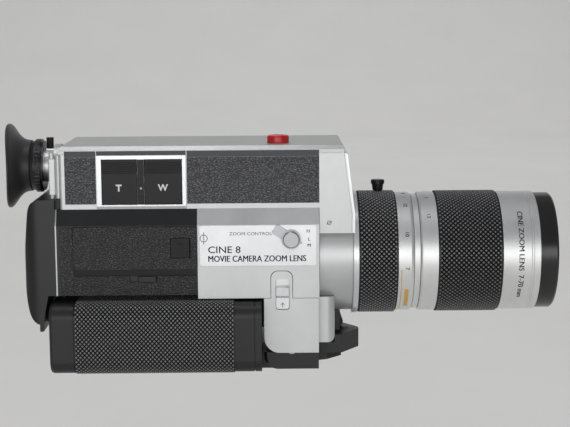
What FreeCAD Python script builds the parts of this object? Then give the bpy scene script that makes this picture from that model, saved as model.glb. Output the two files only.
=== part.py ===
"""Cine camera for Super 8 cartridges, with a zoom lens, a reflex finder and a folding battery grip.

Frame: +X towards the lens front along the optical axis, +Z up, -Y is the operator's right-hand side.
The origin is the mouth of the tripod bush, in the plane that the camera stands on. Millimetres.
Each sub-part is one STEP file in parts/, named after its node.
"""

import FreeCAD, Part

import math
import os

V = FreeCAD.Vector

# ---------------------------------------------------------------- driving dimensions
LENS_Z = 63.0            # optical axis above the base
EYE_Z = 115.7            # finder axis above the base
UPPER_Y = 34.0           # half width of the upper housing
LOWER_Y = 37.5           # half width of the lower body
WALL = 2.2               # casing wall

REAR_X = -128.3          # rear face of the upper housing
FRONT_X = 37.6           # front face of the upper housing at the lens
BROW_X = 33.3            # the same face at the roof: it leans back
BELT_Z = 93.8            # lower edge of the upper housing
ROOF_Z = 125.0           # where the top cover sits
TOP_Z = 129.5            # top of the top cover
CHEEK_Z = 79.0           # the upper housing reaches down to here beside the lens

BODY_X0, BODY_X1 = -130.0, -50.4      # black body
BLOCK_X1 = 18.9                       # silver block runs from BODY_X1 to here
SLOPE_Z = 84.7                        # the lower body widens from BELT_Z down to here
LEDGE_Z = 44.7                        # underside of the body above the folded grip
CHAMBER_Y = -12.0                     # outer face of the film chamber beside the grip
BODY_Z0 = 20.0                        # underside of the film chamber
BLOCK_Z0 = 42.4                       # underside of the silver block

CHAMBER_X = (-128.7, -51.5)           # room for a cartridge of 77 x 24 x 69
CHAMBER_Z = (21.4, 90.8)

GRIP_X0, GRIP_X1 = -134.4, -14.2      # folded grip
GRIP_Y0, GRIP_Y1 = -47.5, -13.2
GRIP_Z0, GRIP_Z1 = 0.5, 40.9
GRIP_WALL = 2.4
CAP_X = -120.6                        # the battery cap starts here
SKIN_X1 = -29.3                       # the textured sleeve ends here
SLEEVE = 0.5                          # sleeve stands proud
PIVOT_X, PIVOT_Z = 3.0, 12.0          # grip hinge, along Y
KNUCKLE_R = 11.8
GRIP_SWEEP = 142.3                    # clear of the folding grip about its hinge, with room to free its cap
KNUCKLE_Y0, KNUCKLE_Y1 = -31.6, -13.2

BRACKET_X0, BRACKET_X1 = -12.8, 18.5
COVER_Z0 = 10.4                       # silver bracket covers start above the black foot

TRIPOD_R = 2.6                        # 1/4-20 tapping size
TRIPOD_DEPTH = 7.0

RING_R = 36.1                         # rubber grips of the lens
BARREL_R = 27.0                       # fixed lens tube
RUN = 0.05                            # running clearance on a radius
FILTER_R = 31.0                       # 62 mm filter thread
LENS_FRONT_X = 156.4

GEAR_MODULE = 0.66
ZOOM_TEETH, ZOOM_PINION_TEETH = 90, 18
ZOOM_PINION_ANGLE = 120.0             # degrees from +Y towards +Z, seen along the lens axis
DRIVE_MODULE = 0.6
SHUTTER_TEETH, MOTOR_TEETH = 36, 18
SHUTTER_Z = 80.5
MOTOR_ANGLE = 160.0
BACKLASH = 0.12


# ---------------------------------------------------------------- shape helpers
def box(x0, x1, y0, y1, z0, z1):
    return Part.makeBox(x1 - x0, y1 - y0, z1 - z0, V(x0, y0, z0))


def cyl_x(r, x0, x1, y=0.0, z=LENS_Z):
    return Part.makeCylinder(r, x1 - x0, V(x0, y, z), V(1, 0, 0))


def cyl_y(r, y0, y1, x, z):
    return Part.makeCylinder(r, y1 - y0, V(x, y0, z), V(0, 1, 0))


def cyl_z(r, z0, z1, x, y):
    return Part.makeCylinder(r, z1 - z0, V(x, y, z0), V(0, 0, 1))


def tube_x(r_out, r_in, x0, x1, y=0.0, z=LENS_Z):
    return cyl_x(r_out, x0, x1, y, z).cut(cyl_x(r_in, x0 - 1, x1 + 1, y, z))


def polygon_prism(points, along):
    """Straight-sided outline, a list of 3D points, pushed along a vector."""
    wire = Part.makePolygon(points + points[:1])
    return Part.Face(wire).extrude(along)


def prism_y(xz, y0, y1):
    return polygon_prism([V(x, y0, z) for x, z in xz], V(0, y1 - y0, 0))


def prism_x(yz, x0, x1):
    return polygon_prism([V(x0, y, z) for y, z in yz], V(x1 - x0, 0, 0))


def prism_z(xy, z0, z1):
    return polygon_prism([V(x, y, z0) for x, y in xy], V(0, 0, z1 - z0))


def turned(profile, y=0.0, z=LENS_Z):
    """Solid of revolution about the line (y, z) along X, from (x, radius) pairs."""
    wire = Part.makePolygon([V(x, y, z + r) for x, r in profile + profile[:1]])
    return Part.Face(wire).revolve(V(0, y, z), V(1, 0, 0), 360)


def join(*shapes):
    made = shapes[0]
    for shape in shapes[1:]:
        made = made.fuse(shape)
    return made.removeSplitter()


def less(shape, *tools):
    for tool in tools:
        shape = shape.cut(tool)
    return shape


def straight_edges(shape, axis, test=lambda c: True):
    """Straight edges parallel to axis whose mid point passes the test."""
    found = []
    for edge in shape.Edges:
        if edge.Curve.TypeId != "Part::GeomLine" or edge.Length < 1e-6:
            continue
        direction = edge.tangentAt(edge.FirstParameter)
        if abs(abs(direction.dot(axis)) - 1) < 1e-6 and test(edge.CenterOfMass):
            found.append(edge)
    return found


def rounded(shape, radius, axis, test=lambda c: True):
    return shape.makeFillet(radius, straight_edges(shape, axis, test))


def bevelled(shape, size, axis, test=lambda c: True):
    return shape.makeChamfer(size, straight_edges(shape, axis, test))


def group(shapes):
    return Part.makeCompound(shapes)


AX, AY, AZ = V(1, 0, 0), V(0, 1, 0), V(0, 0, 1)


def gear_prism(teeth, module, phase, x0, x1, y, z):
    """Spur gear along X with involute flanks as straight facets, and one tooth centred at phase radians."""
    pitch = teeth * module / 2
    base = pitch * math.cos(math.radians(20))
    root, tip = pitch - 1.2 * module, pitch + 0.95 * module
    half = math.pi / (2 * teeth) - BACKLASH / (2 * pitch)

    def involute(r):
        a = math.acos(min(1.0, base / r))
        return math.tan(a) - a

    start = max(base, root)
    radii = [start + (tip - start) * k / 3 for k in range(4)]
    flank = [(r, half + involute(pitch) - involute(r)) for r in radii]
    if root < base:
        flank.insert(0, (root, flank[0][1]))
    points = []
    for tooth in range(teeth):
        centre = phase + 2 * math.pi * tooth / teeth
        for r, a in flank:
            points.append((r, centre - a))
        for r, a in reversed(flank):
            points.append((r, centre + a))
    return prism_x([(y + r * math.cos(a), z + r * math.sin(a)) for r, a in points], x0, x1)


# ---------------------------------------------------------------- upper housing
BUTTON_Z0, BUTTON_Z1 = 96.7, 122.0
TELE_X = (-103.8, -84.1)
WIDE_X = (-79.6, -58.7)
BEZEL_X = (-106.8, -56.3)
BEZEL_Z = (93.9, 124.4)
PANEL_DEPTH = 0.8
PANEL_Z = (96.7, 123.2)
REAR_PANEL_X = (-124.9, -107.3)
FRONT_PANEL_X = (-55.8, 19.1)
COUNTER = (-100.0, -84.0, 105.0, 114.0)   # x0, x1, z0, z1 of the footage window
TOP_BUTTON = (-4.0, -16.0)
TOP_BUTTON_R = 6.3
EYE_TUBE_R = 9.5


def upper_housing():
    outline = [(REAR_X, BELT_Z), (REAR_X, ROOF_Z), (BROW_X, ROOF_Z), (FRONT_X, 90.0),
               (FRONT_X, CHEEK_Z), (BLOCK_X1 + 0.2, CHEEK_Z), (BLOCK_X1 + 0.2, BELT_Z)]
    inside = [(REAR_X + 2.5, BELT_Z - 1), (REAR_X + 2.5, ROOF_Z + 1), (BROW_X - 2.6, ROOF_Z + 1),
              (FRONT_X - 2.5, 89.0), (FRONT_X - 2.5, CHEEK_Z - 1), (BLOCK_X1 + 2.6, CHEEK_Z - 1),
              (BLOCK_X1 + 2.6, BELT_Z - 1.6)]
    shell = less(
        rounded(prism_y(outline, -UPPER_Y, UPPER_Y), 2.0, AZ, lambda c: c.x < REAR_X + 1),
        prism_y(inside, -UPPER_Y + 2.5, UPPER_Y - 2.5),
        cyl_x(31.0, BLOCK_X1, FRONT_X + 1),
        cyl_x(EYE_TUBE_R, REAR_X - 1, REAR_X + 4, 0, EYE_Z),
        box(*BEZEL_X, -UPPER_Y - 1, -UPPER_Y + 3, BELT_Z - 1, BEZEL_Z[1]),
        box(*REAR_PANEL_X, -UPPER_Y - 1, -UPPER_Y + PANEL_DEPTH, *PANEL_Z),
        box(*FRONT_PANEL_X, -UPPER_Y - 1, -UPPER_Y + PANEL_DEPTH, *PANEL_Z),
        box(REAR_PANEL_X[0], FRONT_PANEL_X[1], UPPER_Y - PANEL_DEPTH, UPPER_Y + 1, *PANEL_Z),
        box(COUNTER[0], COUNTER[1], UPPER_Y - 4, UPPER_Y + 1, COUNTER[2], COUNTER[3]),
    )
    return shell


def top_cover():
    blank = box(REAR_X, BROW_X, -UPPER_Y, UPPER_Y, ROOF_Z, TOP_Z)
    near = bevelled(blank, 2.3, AX, lambda c: c.z > TOP_Z - 1 and c.y < 0)
    far = bevelled(near, 1.0, AX, lambda c: c.z > TOP_Z - 0.1 and c.y > UPPER_Y - 1)
    ends = bevelled(far, 1.2, AY, lambda c: c.z > TOP_Z - 0.1)
    return less(
        ends,
        box(REAR_X + 5.5, BROW_X - 5.5, -UPPER_Y + 4, UPPER_Y - 4, ROOF_Z - 1, TOP_Z - 2.2),
        cyl_z(TOP_BUTTON_R + RUN, ROOF_Z, TOP_Z + 1, *TOP_BUTTON),
        cyl_x(EYE_TUBE_R, REAR_X - 1, 2.0, 0, EYE_Z),
    )


def top_button():
    """Record button, sunk into the top cover, with a screwdriver slot across it."""
    x, y = TOP_BUTTON
    head = cyl_z(TOP_BUTTON_R, TOP_Z - 0.6, TOP_Z + 4.4, x, y)
    head = head.makeFillet(1.2, [e for e in head.Edges if e.CenterOfMass.z > TOP_Z + 4])
    slot = box(x - 8, x + 8, y - 0.45, y + 0.45, TOP_Z + 3.6, TOP_Z + 5)
    slot = slot.rotated(V(x, y, 0), AZ, -60)
    return join(head, cyl_z(3.2, ROOF_Z - 2.5, TOP_Z, x, y)).cut(slot)


def zoom_button_bezel():
    frame = box(*BEZEL_X, -UPPER_Y - 1.0, -UPPER_Y + 2.5, *BEZEL_Z)
    gap = 0.3
    for x0, x1 in (TELE_X, WIDE_X):
        frame = frame.cut(box(x0 - gap, x1 + gap, -40, -30, BUTTON_Z0 - gap, BUTTON_Z1 + gap))
    sill = prism_x([(-UPPER_Y - 1.1, 95.8), (-UPPER_Y - 1.1, 93.8), (-UPPER_Y - 0.2, 93.8)], -108, -54)
    return frame.cut(sill)


def zoom_button(x_span):
    """Zoom key: flat below, a ribbed shelf above."""
    face = -UPPER_Y - 0.6
    key = box(*x_span, face, face + 5.0, BUTTON_Z0, BUTTON_Z1)
    for k in range(7):
        z = 114.2 + 1.0 * k
        key = key.cut(box(x_span[0] - 1, x_span[1] + 1, face - 1, face + 0.3, z, z + 0.4))
    return key


def leatherette_panels():
    """Glued panels: two on the right of the upper housing, one on its left, three on the black body."""
    right = -UPPER_Y + PANEL_DEPTH
    rear = box(*REAR_PANEL_X, right - SKIN, right, *PANEL_Z)
    front = box(*FRONT_PANEL_X, right - SKIN, right, *PANEL_Z)
    left = box(REAR_PANEL_X[0], FRONT_PANEL_X[1], -right, -right + SKIN, *PANEL_Z)
    left = left.cut(box(COUNTER[0], COUNTER[1], UPPER_Y - 4, UPPER_Y + 1, COUNTER[2], COUNTER[3]))
    side = box(*BOSS_X, -BOSS_Y - SKIN, -BOSS_Y, *BOSS_Z)
    side = side.cut(box(SOCKET[0] - 0.3, SOCKET[1] + 0.3, -44, -37, SOCKET[2] - 0.3, SOCKET[3] + 0.3))
    low = box(*BOSS_X, -LOWER_Y - SKIN, -LOWER_Y, LEDGE_Z + 0.2, 55.9)
    low = low.cut(box(SWITCH[0], SWITCH[1], -40, -37, SWITCH[2], 57))
    strip = box(BODY_X0 + 1.4, BOSS_X[0] - 0.3, -LOWER_Y - SKIN, -LOWER_Y, LEDGE_Z + 0.2, BOSS_Z[1])
    return group([rear, front, left, side, low, strip])


def counter_window():
    x0, x1, z0, z1 = COUNTER
    return box(x0, x1, UPPER_Y - 2.2, UPPER_Y + 0.1, z0, z1)


# ---------------------------------------------------------------- black body
SKIN = 0.55                                # leatherette
BOSS_X = (-120.5, -51.0)                   # raised field of the body's right side
BOSS_Z = (59.9, 84.2)
BOSS_Y = LOWER_Y + 1.1
SOCKET = (-65.3, -54.2, 66.5, 77.6)       # x0, x1, z0, z1 of the socket cover
SWITCH = (-89.0, -73.3, 52.4, 55.8)
DOOR_X = (-129.0, -50.9)
DOOR_Z = (21.5, 90.8)
DOOR_Y0 = 33.7
HINGE = (-129.4, 39.6)                     # x, y of the film door's pin
HINGE_R = 1.7
HINGE_PIN_R = 0.8
DOOR_KNUCKLES = ((34.0, 42.0), (70.0, 78.0))
BODY_KNUCKLES = ((26.0, 33.7), (42.3, 50.0), (62.0, 69.7), (78.3, 86.0))


def body_outline():
    return [(-UPPER_Y, BELT_Z), (-LOWER_Y, SLOPE_Z), (-LOWER_Y, LEDGE_Z), (CHAMBER_Y, LEDGE_Z),
            (CHAMBER_Y, BODY_Z0), (LOWER_Y, BODY_Z0), (LOWER_Y, SLOPE_Z), (UPPER_Y, BELT_Z)]


def main_body():
    shell = less(
        prism_x(body_outline(), BODY_X0, BODY_X1),
        box(-128.0, BODY_X1 + 1, -LOWER_Y + WALL, CHAMBER_Y - 0.2, LEDGE_Z + WALL, SLOPE_Z),
        box(-128.0, BODY_X1 + 1, -UPPER_Y + WALL, CHAMBER_Y - 0.2, SLOPE_Z - 1, BELT_Z + 1),
    )
    boss = prism_x([(-LOWER_Y + 0.5, BOSS_Z[1] + 0.3), (-LOWER_Y, BOSS_Z[1] + 0.3), (-BOSS_Y, BOSS_Z[1]),
                    (-BOSS_Y, BOSS_Z[0]), (-LOWER_Y, 56.0), (-LOWER_Y + 0.5, 56.0)], *BOSS_X)
    shell = join(shell, boss)
    shell = less(
        shell,
        box(*CHAMBER_X, CHAMBER_Y + 2.3, 45.0, *CHAMBER_Z),
        box(DOOR_X[0] - 0.3, BODY_X1 + 1, DOOR_Y0 - 0.2, 45.0, DOOR_Z[0] - 0.3, DOOR_Z[1] + 0.3),
        box(BODY_X1 - 3, BODY_X1 + 1, -9.4, 10.0, 50.0, 76.0),
        box(SOCKET[0] - 0.3, SOCKET[1] + 0.3, -44, -LOWER_Y + 0.6, SOCKET[2] - 0.3, SOCKET[3] + 0.3),
        cyl_y(1.8, -LOWER_Y, -LOWER_Y + 3, -60.0, 72.0),
        box(SWITCH[0], SWITCH[1], -LOWER_Y - 1, -LOWER_Y + 1.2, SWITCH[2], SWITCH[3]),
        cyl_y(3.0 + RUN, CHAMBER_Y - 1, CHAMBER_Y + 4, *SPINDLE),
    )
    barrels = [cyl_z(HINGE_R, z0, z1, *HINGE) for z0, z1 in BODY_KNUCKLES]
    bridges = [box(BODY_X0, BODY_X0 + 1.0, LOWER_Y - 0.6, HINGE[1], z0, z1)
               for z0, z1 in BODY_KNUCKLES]
    return join(shell, *barrels, *bridges).cut(cyl_z(HINGE_PIN_R, 20, 90, *HINGE))


BACK = ((-141.6, 28.2), (-145.2, 31.4), (-147.4, 37.3), (-148.4, 43.2), (-148.8, 49.1), (-148.8, 54.9),
        (-148.8, 60.8), (-148.8, 66.6), (-148.6, 72.5), (-148.1, 78.3), (-147.5, 84.1), (-146.9, 89.9),
        (-146.1, 94.3), (-144.5, 97.5), (-141.8, 99.2), (-138.0, 99.6))
BACK_FOOT = (-140.8, 24.0)                 # small flat foot below the curve


def rear_outline():
    """Side view of the rounded back cover: a smooth curve closed by straight lines at the front."""
    points = [V(x, 0, z) for x, z in BACK]
    curve = Part.BSplineCurve()
    curve.interpolate(points)
    front = BODY_X0 - 0.8
    foot_x, foot_z = BACK_FOOT
    ends = [points[-1], V(front, 0, points[-1].z), V(front, 0, foot_z), V(foot_x, 0, foot_z),
            V(foot_x, 0, points[0].z), points[0]]
    return Part.Face(Part.Wire([curve.toShape()] + Part.makePolygon(ends).Edges))


def rear_cover():
    face = rear_outline()
    face.translate(V(0, -LOWER_Y, 0))
    side_view = face.extrude(V(0, 2 * LOWER_Y, 0))
    front = BODY_X0 - 0.8
    plan = rounded(box(-150.5, front, -LOWER_Y, LOWER_Y, 10, 105), 11.0, AZ, lambda c: c.x < -145)
    full = side_view.common(plan)
    hollow = box(-141.0, front + 1, -LOWER_Y + 6, LOWER_Y - 6, LEDGE_Z + 2.5, 95.0)
    full = join(full, box(front, REAR_X - 0.1, -UPPER_Y + 1, UPPER_Y - 1, BELT_Z + 0.2, 99.6))
    sweep = cyl_y(GRIP_SWEEP, -60, CHAMBER_Y, PIVOT_X, PIVOT_Z)
    return less(full, hollow, sweep.common(box(-160, 0, -60, CHAMBER_Y, 0, LEDGE_Z)))


def rear_fittings():
    """Bright strip ahead of the back cover, and the eyepiece plate with its strap bar."""
    outline = [(y * 1.006, z) for y, z in body_outline()]
    strip = less(
        prism_x(outline, BODY_X0 - 0.8, BODY_X0),
        box(-140, -120, -LOWER_Y + 6, LOWER_Y - 6, LEDGE_Z + 2.5, BELT_Z - 3),
    )
    plate = box(REAR_X - 2.6, REAR_X, -UPPER_Y + 1.5, UPPER_Y - 1.5, 100.0, 124.4)
    plate = rounded(plate, 2.2, AZ, lambda c: c.x < REAR_X - 2)
    plate = plate.cut(cyl_x(EYE_TUBE_R, REAR_X - 4, REAR_X + 1, 0, EYE_Z))
    return group([strip, join(plate, strap_bar())])


def strap_bar():
    """Carrying-strap bar on two round feet at the rear right corner."""
    x0, x1, y = REAR_X - 5.8, REAR_X - 2.0, -31.0
    bar = rounded(box(x0, x1, y - 2.0, y + 2.0, 102.2, 122.4), 0.8, AZ)
    feet = [cyl_x(1.6, x1 - 0.4, REAR_X, -30.4, z) for z in (104.2, 120.4)]
    knobs = [cyl_z(1.4, 122.4, 125.9, x0 + 1.6, y), cyl_z(1.2, 99.8, 102.2, x0 + 1.6, y)]
    return join(bar, *feet, *knobs)


def side_switch():
    x0, x1, z0, z1 = -84.3, -73.7, SWITCH[2] + 0.2, SWITCH[3] - 0.2
    slider = box(x0, x1, -LOWER_Y - 0.7, -LOWER_Y + 1.1, z0, z1)
    return bevelled(slider, 0.5, AZ, lambda c: c.y < -LOWER_Y - 0.5)


def socket_cover():
    """Flap with a round hinge barrel down its front edge."""
    x0, x1, z0, z1 = SOCKET
    hinge_x, hinge_y = x1 - 0.9, -BOSS_Y - 0.2
    plate = box(x0, hinge_x, hinge_y - 0.6, hinge_y + 0.6, z0, z1)
    plate = rounded(plate, 0.5, AY, lambda c: c.x < x0 + 1)
    notch = box(x0 + 4.0, x0 + 7.6, hinge_y - 1, hinge_y - 0.2, z1 - 3.4, z1 - 2.6)
    return join(plate, cyl_z(0.6, z0, z1, hinge_x, hinge_y)).cut(notch)


# ---------------------------------------------------------------- film door on the left
def film_door():
    leaf = box(*DOOR_X, DOOR_Y0, LOWER_Y, *DOOR_Z)
    leaf = leaf.common(prism_x([(20, 10), (LOWER_Y, 10), (LOWER_Y, SLOPE_Z), (UPPER_Y, BELT_Z), (20, BELT_Z)],
                               -140, 0))
    pad = box(-118.0, -60.0, 16.0, DOOR_Y0, 30.0, 80.0)
    pad = pad.cut(box(-115.5, -62.5, 15.0, DOOR_Y0, 32.5, 77.5))
    arms = []
    for z0, z1 in DOOR_KNUCKLES:
        arms.append(box(HINGE[0], DOOR_X[0] + 4, LOWER_Y + 0.3, LOWER_Y + 1.9, z0, z1))
        arms.append(box(DOOR_X[0] + 0.2, DOOR_X[0] + 4, LOWER_Y - 0.5, LOWER_Y + 1, z0, z1))
        arms.append(cyl_z(HINGE_R, z0, z1, *HINGE))
    door = join(leaf, pad, *arms)
    return less(
        door,
        box(WINDOW[0], WINDOW[1], 30, 40, WINDOW[2], WINDOW[3]),
        box(LATCH[0] - 4.6, LATCH[1] + 0.3, LOWER_Y - 1.2, 40, LATCH[2] - 0.3, LATCH[3] + 0.3),
        cyl_z(HINGE_PIN_R + RUN, 20, 90, *HINGE),
    )


WINDOW = (-98.0, -84.0, 44.0, 68.0)
LATCH = (-62.0, -54.0, 50.0, 62.0)


def door_window():
    return box(WINDOW[0], WINDOW[1], DOOR_Y0 + 1.0, LOWER_Y - 0.4, WINDOW[2], WINDOW[3])


def door_latch():
    x0, x1, z0, z1 = LATCH
    plate = box(x0, x1, LOWER_Y - 1.1, LOWER_Y + 0.6, z0, z1)
    ribs = [box(x0 + 1.4 + 1.5 * k, x0 + 2.0 + 1.5 * k, LOWER_Y + 0.6, LOWER_Y + 1.3, z0 + 1, z1 - 1)
            for k in range(4)]
    return join(plate, *ribs)


SPINDLE = (-84.0, 57.0)


def take_up_spindle():
    x, z = SPINDLE
    hub = cyl_y(3.0, CHAMBER_Y - 6, CHAMBER_Y + 8.0, x, z)
    dogs = box(x - 4.2, x + 4.2, CHAMBER_Y + 3.4, CHAMBER_Y + 7.2, z - 0.8, z + 0.8)
    disc = cyl_y(7.0, CHAMBER_Y - 6, CHAMBER_Y - 2, x, z)
    return join(hub, dogs, disc)


def film_gate():
    """Gate plate let into the front wall of the film chamber."""
    plate = box(CHAMBER_X[1], BODY_X1, -9.4, 10.0, 50.0, 76.0)
    lip = tube_x(4.6, 3.4, BODY_X1, BODY_X1 + 2)
    return join(plate, lip).cut(box(-55, -45, -2.9, 2.9, LENS_Z - 2.1, LENS_Z + 2.1))


# ---------------------------------------------------------------- silver block and bracket
TAB_X = (-8.7, 3.5)
TAB_Z = 58.0
SLOT_X = (-6.1, 1.8)
SLOT_Z = (35.6, 53.4)
LOCK_Z = (35.9, 49.2)
DIAL = (2.9, 76.5)


def side_shell(sign):
    """Half of the silver block: flank, sloping shoulder and floor."""
    outer = [(UPPER_Y, BELT_Z), (LOWER_Y, SLOPE_Z), (LOWER_Y, BLOCK_Z0), (0.2, BLOCK_Z0),
             (0.2, BLOCK_Z0 + WALL), (LOWER_Y - WALL, BLOCK_Z0 + WALL), (LOWER_Y - WALL, SLOPE_Z - 0.4),
             (UPPER_Y - WALL, BELT_Z)]
    shell = prism_x([(sign * y, z) for y, z in outer], BODY_X1 + 0.1, BLOCK_X1)
    wall = prism_x([(sign * y, z) for y, z in [(LOWER_Y, BLOCK_Z0), (LOWER_Y, SLOPE_Z),
                                               (UPPER_Y, BELT_Z), (24.0, BELT_Z), (24.0, BLOCK_Z0)]],
                   BLOCK_X1 - WALL, BLOCK_X1)
    return join(shell, wall).cut(cyl_x(29.8, MOUNT_X - 0.1, 30))


def right_front_cover():
    tab = box(TAB_X[0] - 0.25, TAB_X[1] + 0.25, -LOWER_Y - 1, -34, BLOCK_Z0 - 1, TAB_Z + 0.25)
    tab = rounded(tab, 4.0, AY, lambda c: c.z > TAB_Z)
    return side_shell(-1).cut(tab).cut(cyl_y(2.5 + RUN, -40, -30, *DIAL))


def bracket_plate(y0, y1):
    plate = box(BRACKET_X0, BRACKET_X1, y0, y1, COVER_Z0, BLOCK_Z0 - 0.2)
    return rounded(plate, 9.0, AY, lambda c: c.x < 0 and c.z < 15)


def bracket_cover_right():
    tab = rounded(box(*TAB_X, -LOWER_Y, -LOWER_Y + 2.4, 38, TAB_Z), 4.0, AY, lambda c: c.z > 50)
    cover = join(bracket_plate(-LOWER_Y, -LOWER_Y + 2.4), tab)
    slot = box(*SLOT_X, -LOWER_Y - 1, -34, *SLOT_Z)
    slot = rounded(slot, 1.6, AY)
    return cover.cut(slot)


def grip_lock_slider():
    """Thumb slide: a finger ledge above, a plain face below, and a shield that closes the slot."""
    x0, x1 = SLOT_X[0] + 0.3, SLOT_X[1] - 0.3
    face = box(x0, x1, -LOWER_Y + 0.5, -LOWER_Y + 2.3, *LOCK_Z)
    face = rounded(face, 1.4, AY)
    ledge = prism_x([(-LOWER_Y + 1, 42.0), (-LOWER_Y - 1.0, 43.8), (-LOWER_Y - 1.2, 48.4),
                     (-LOWER_Y - 0.4, 49.0), (-LOWER_Y + 1, 49.0)], x0, x1)
    neck = box(x0 + 1, x1 - 1, -LOWER_Y + 2, -LOWER_Y + 3.1, LOCK_Z[0] + 1, LOCK_Z[1] - 1)
    shield = box(SLOT_X[0] - 1.0, SLOT_X[1] + 1.0, -LOWER_Y + 2.5, -LOWER_Y + 3.1, 32.2, 54.4)
    return join(face, ledge, neck, shield)


def left_front_cover():
    return less(
        join(side_shell(1), bracket_plate(LOWER_Y - 2.4, LOWER_Y),
             box(BRACKET_X0, BRACKET_X1, LOWER_Y - 2.4, LOWER_Y, BLOCK_Z0 - 1, BLOCK_Z0 + 1)),
        cyl_y(2.5 + RUN, 30, 40, *SPEED_DIAL),
        *[cyl_y(2.05, LOWER_Y - 0.9, 40, x, z) for x, z in LEFT_SCREWS],
    )


SPEED_DIAL = (-22.0, 70.0)
LEFT_SCREWS = ((-45.0, 47.0), (14.0, 47.0), (-45.0, 80.0), (14.0, 80.0), (13.0, 16.0))


def speed_dial():
    x, z = SPEED_DIAL
    knob = cyl_y(10.5, LOWER_Y + 0.1, LOWER_Y + 4.4, x, z)
    flutes = [cyl_y(0.8, LOWER_Y, LOWER_Y + 5, x + 10.8 * math.cos(a), z + 10.8 * math.sin(a))
              for a in [2 * math.pi * k / 30 for k in range(30)]]
    return join(less(knob, *flutes), cyl_y(2.5, LOWER_Y - 5, LOWER_Y + 1, x, z))


def name_plate():
    plate = rounded(box(-49.0, 17.2, -LOWER_Y - 0.5, -LOWER_Y, 61.3, SLOPE_Z - 0.2), 1.6, AY)
    return plate.cut(cyl_y(5.0, -40, -30, *DIAL))


def zoom_dial():
    """Three-position selector: a lever ring with a turned cap, its lever up and to the rear."""
    x, z = DIAL
    face = -LOWER_Y - 0.6
    ring = cyl_y(5.5, face - 1.8, face, x, z)
    lever = rounded(box(x, x + 11.4, face - 1.6, face, z - 2.9, z + 2.9), 0.6, AY, lambda c: c.x > x + 5)
    lever = lever.rotated(V(x, 0, z), V(0, -1, 0), 146)
    pointer = prism_y([(x + 5.0, z - 1.0), (x + 7.0, z), (x + 5.0, z + 1.0)], face - 0.8, face)
    pointer = pointer.rotated(V(x, 0, z), V(0, -1, 0), -21)
    cap = cyl_y(4.7, face - 3.6, face - 1.8, x, z)
    cap = cap.makeChamfer(0.5, [e for e in cap.Edges if e.CenterOfMass.y < face - 3.5])
    stem = cyl_y(2.5, face - 1, -LOWER_Y + 6, x, z)
    return join(ring, lever, pointer, cap, stem)


def base_block():
    """Black casting between the side covers, with the fork for the knuckle, and the floor below the body."""
    y0, y1 = -LOWER_Y + 2.6, LOWER_Y - 2.6
    cheek = rounded(box(BRACKET_X0, BRACKET_X1, y0, KNUCKLE_Y0, 0, COVER_Z0 - 0.2), 8.0, AY,
                    lambda c: c.x < 0 and c.z < 1)
    cheek = bevelled(cheek, 1.4, AX, lambda c: c.z < 0.1 and c.y < y0 + 0.1)
    upper = rounded(box(BRACKET_X0, BRACKET_X1, y0, y1, COVER_Z0 - 0.2, BLOCK_Z0 - 0.2), 8.0, AY,
                    lambda c: c.x < 0 and c.z < 15)
    middle = box(BRACKET_X0, BRACKET_X1, KNUCKLE_Y0, y1, 0, COVER_Z0 - 0.2)
    foot = box(-16.0, BRACKET_X1, CHAMBER_Y + 0.1, LOWER_Y - 0.6, 0, COVER_Z0 - 0.2)
    shelf = box(BODY_X1 + 0.2, BRACKET_X0 - 0.05, CHAMBER_Y + 0.1, y1, BODY_Z0, BLOCK_Z0 - 0.2)
    hollow = box(BODY_X1 + 2.4, BRACKET_X0 - 2.2, CHAMBER_Y + 2.3, y1 - 2.4, BODY_Z0 + 2.4, BLOCK_Z0)
    s0, s1 = KNUCKLE_Y0 - 0.3, KNUCKLE_Y1 + 0.5
    casting = less(
        join(cheek, upper, middle, foot),
        cyl_x(29.8, MOUNT_X - 0.1, 30),
        cyl_y(KNUCKLE_R + 0.5, s0, s1, PIVOT_X, PIVOT_Z),
        box(-17, PIVOT_X, s0, s1, -1, PIVOT_Z + KNUCKLE_R + 0.5),
        box(-17, PIVOT_X + KNUCKLE_R + 0.5, s0, s1, -1, PIVOT_Z),
        box(SLOT_X[0] - 1.4, SLOT_X[1] + 1.4, -40, -LOWER_Y + 3.3, 31.8, BLOCK_Z0),
        cyl_y(PIN_R, -LOWER_Y, 0, PIVOT_X, PIVOT_Z),
        cyl_z(5.5, -1, TRIPOD_DEPTH + 1.2, 0, 0),
        *[cyl_z(2.05, -1, 0.9, x, y) for x, y in BASE_SCREWS],
    )
    return group([casting, shelf.cut(hollow)])


PIN_R = 3.0
BASE_SCREWS = ((14.0, -8.0), (14.0, 26.0), (-8.0, 26.0))


def tripod_bush():
    bush = cyl_z(5.5, 0, TRIPOD_DEPTH + 1.2, 0, 0)
    return bush.cut(cyl_z(TRIPOD_R, -1, TRIPOD_DEPTH, 0, 0))


def hinge_pins():
    """Grip pin across the fork, and the long pin of the film door."""
    return group([cyl_y(PIN_R, -LOWER_Y + 2.7, -4.0, PIVOT_X, PIVOT_Z), cyl_z(HINGE_PIN_R, 26.0, 86.0, *HINGE)])


def screws():
    """Slotted cover screws: five on the left cover, three in the foot."""
    made = []
    for x, z in LEFT_SCREWS:
        head = cyl_y(2.0, LOWER_Y - 0.9, LOWER_Y + 0.1, x, z)
        made.append(head.cut(box(x - 3, x + 3, LOWER_Y - 0.4, LOWER_Y + 1, z - 0.3, z + 0.3)))
    for x, y in BASE_SCREWS:
        head = cyl_z(2.0, 0.1, 0.9, x, y)
        made.append(head.cut(box(x - 3, x + 3, y - 0.3, y + 0.3, -1, 0.5)))
    return group(made)


# ---------------------------------------------------------------- release and finger guard
NOSE_X = 28.0
NOSE_Z = (14.9, 41.6)
TRIGGER_PIN = (30.75, 25.6)                # x, z of the trigger's pin
TRIGGER_PIN_R = 0.8
TRIGGER_Y = 4.6


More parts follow.
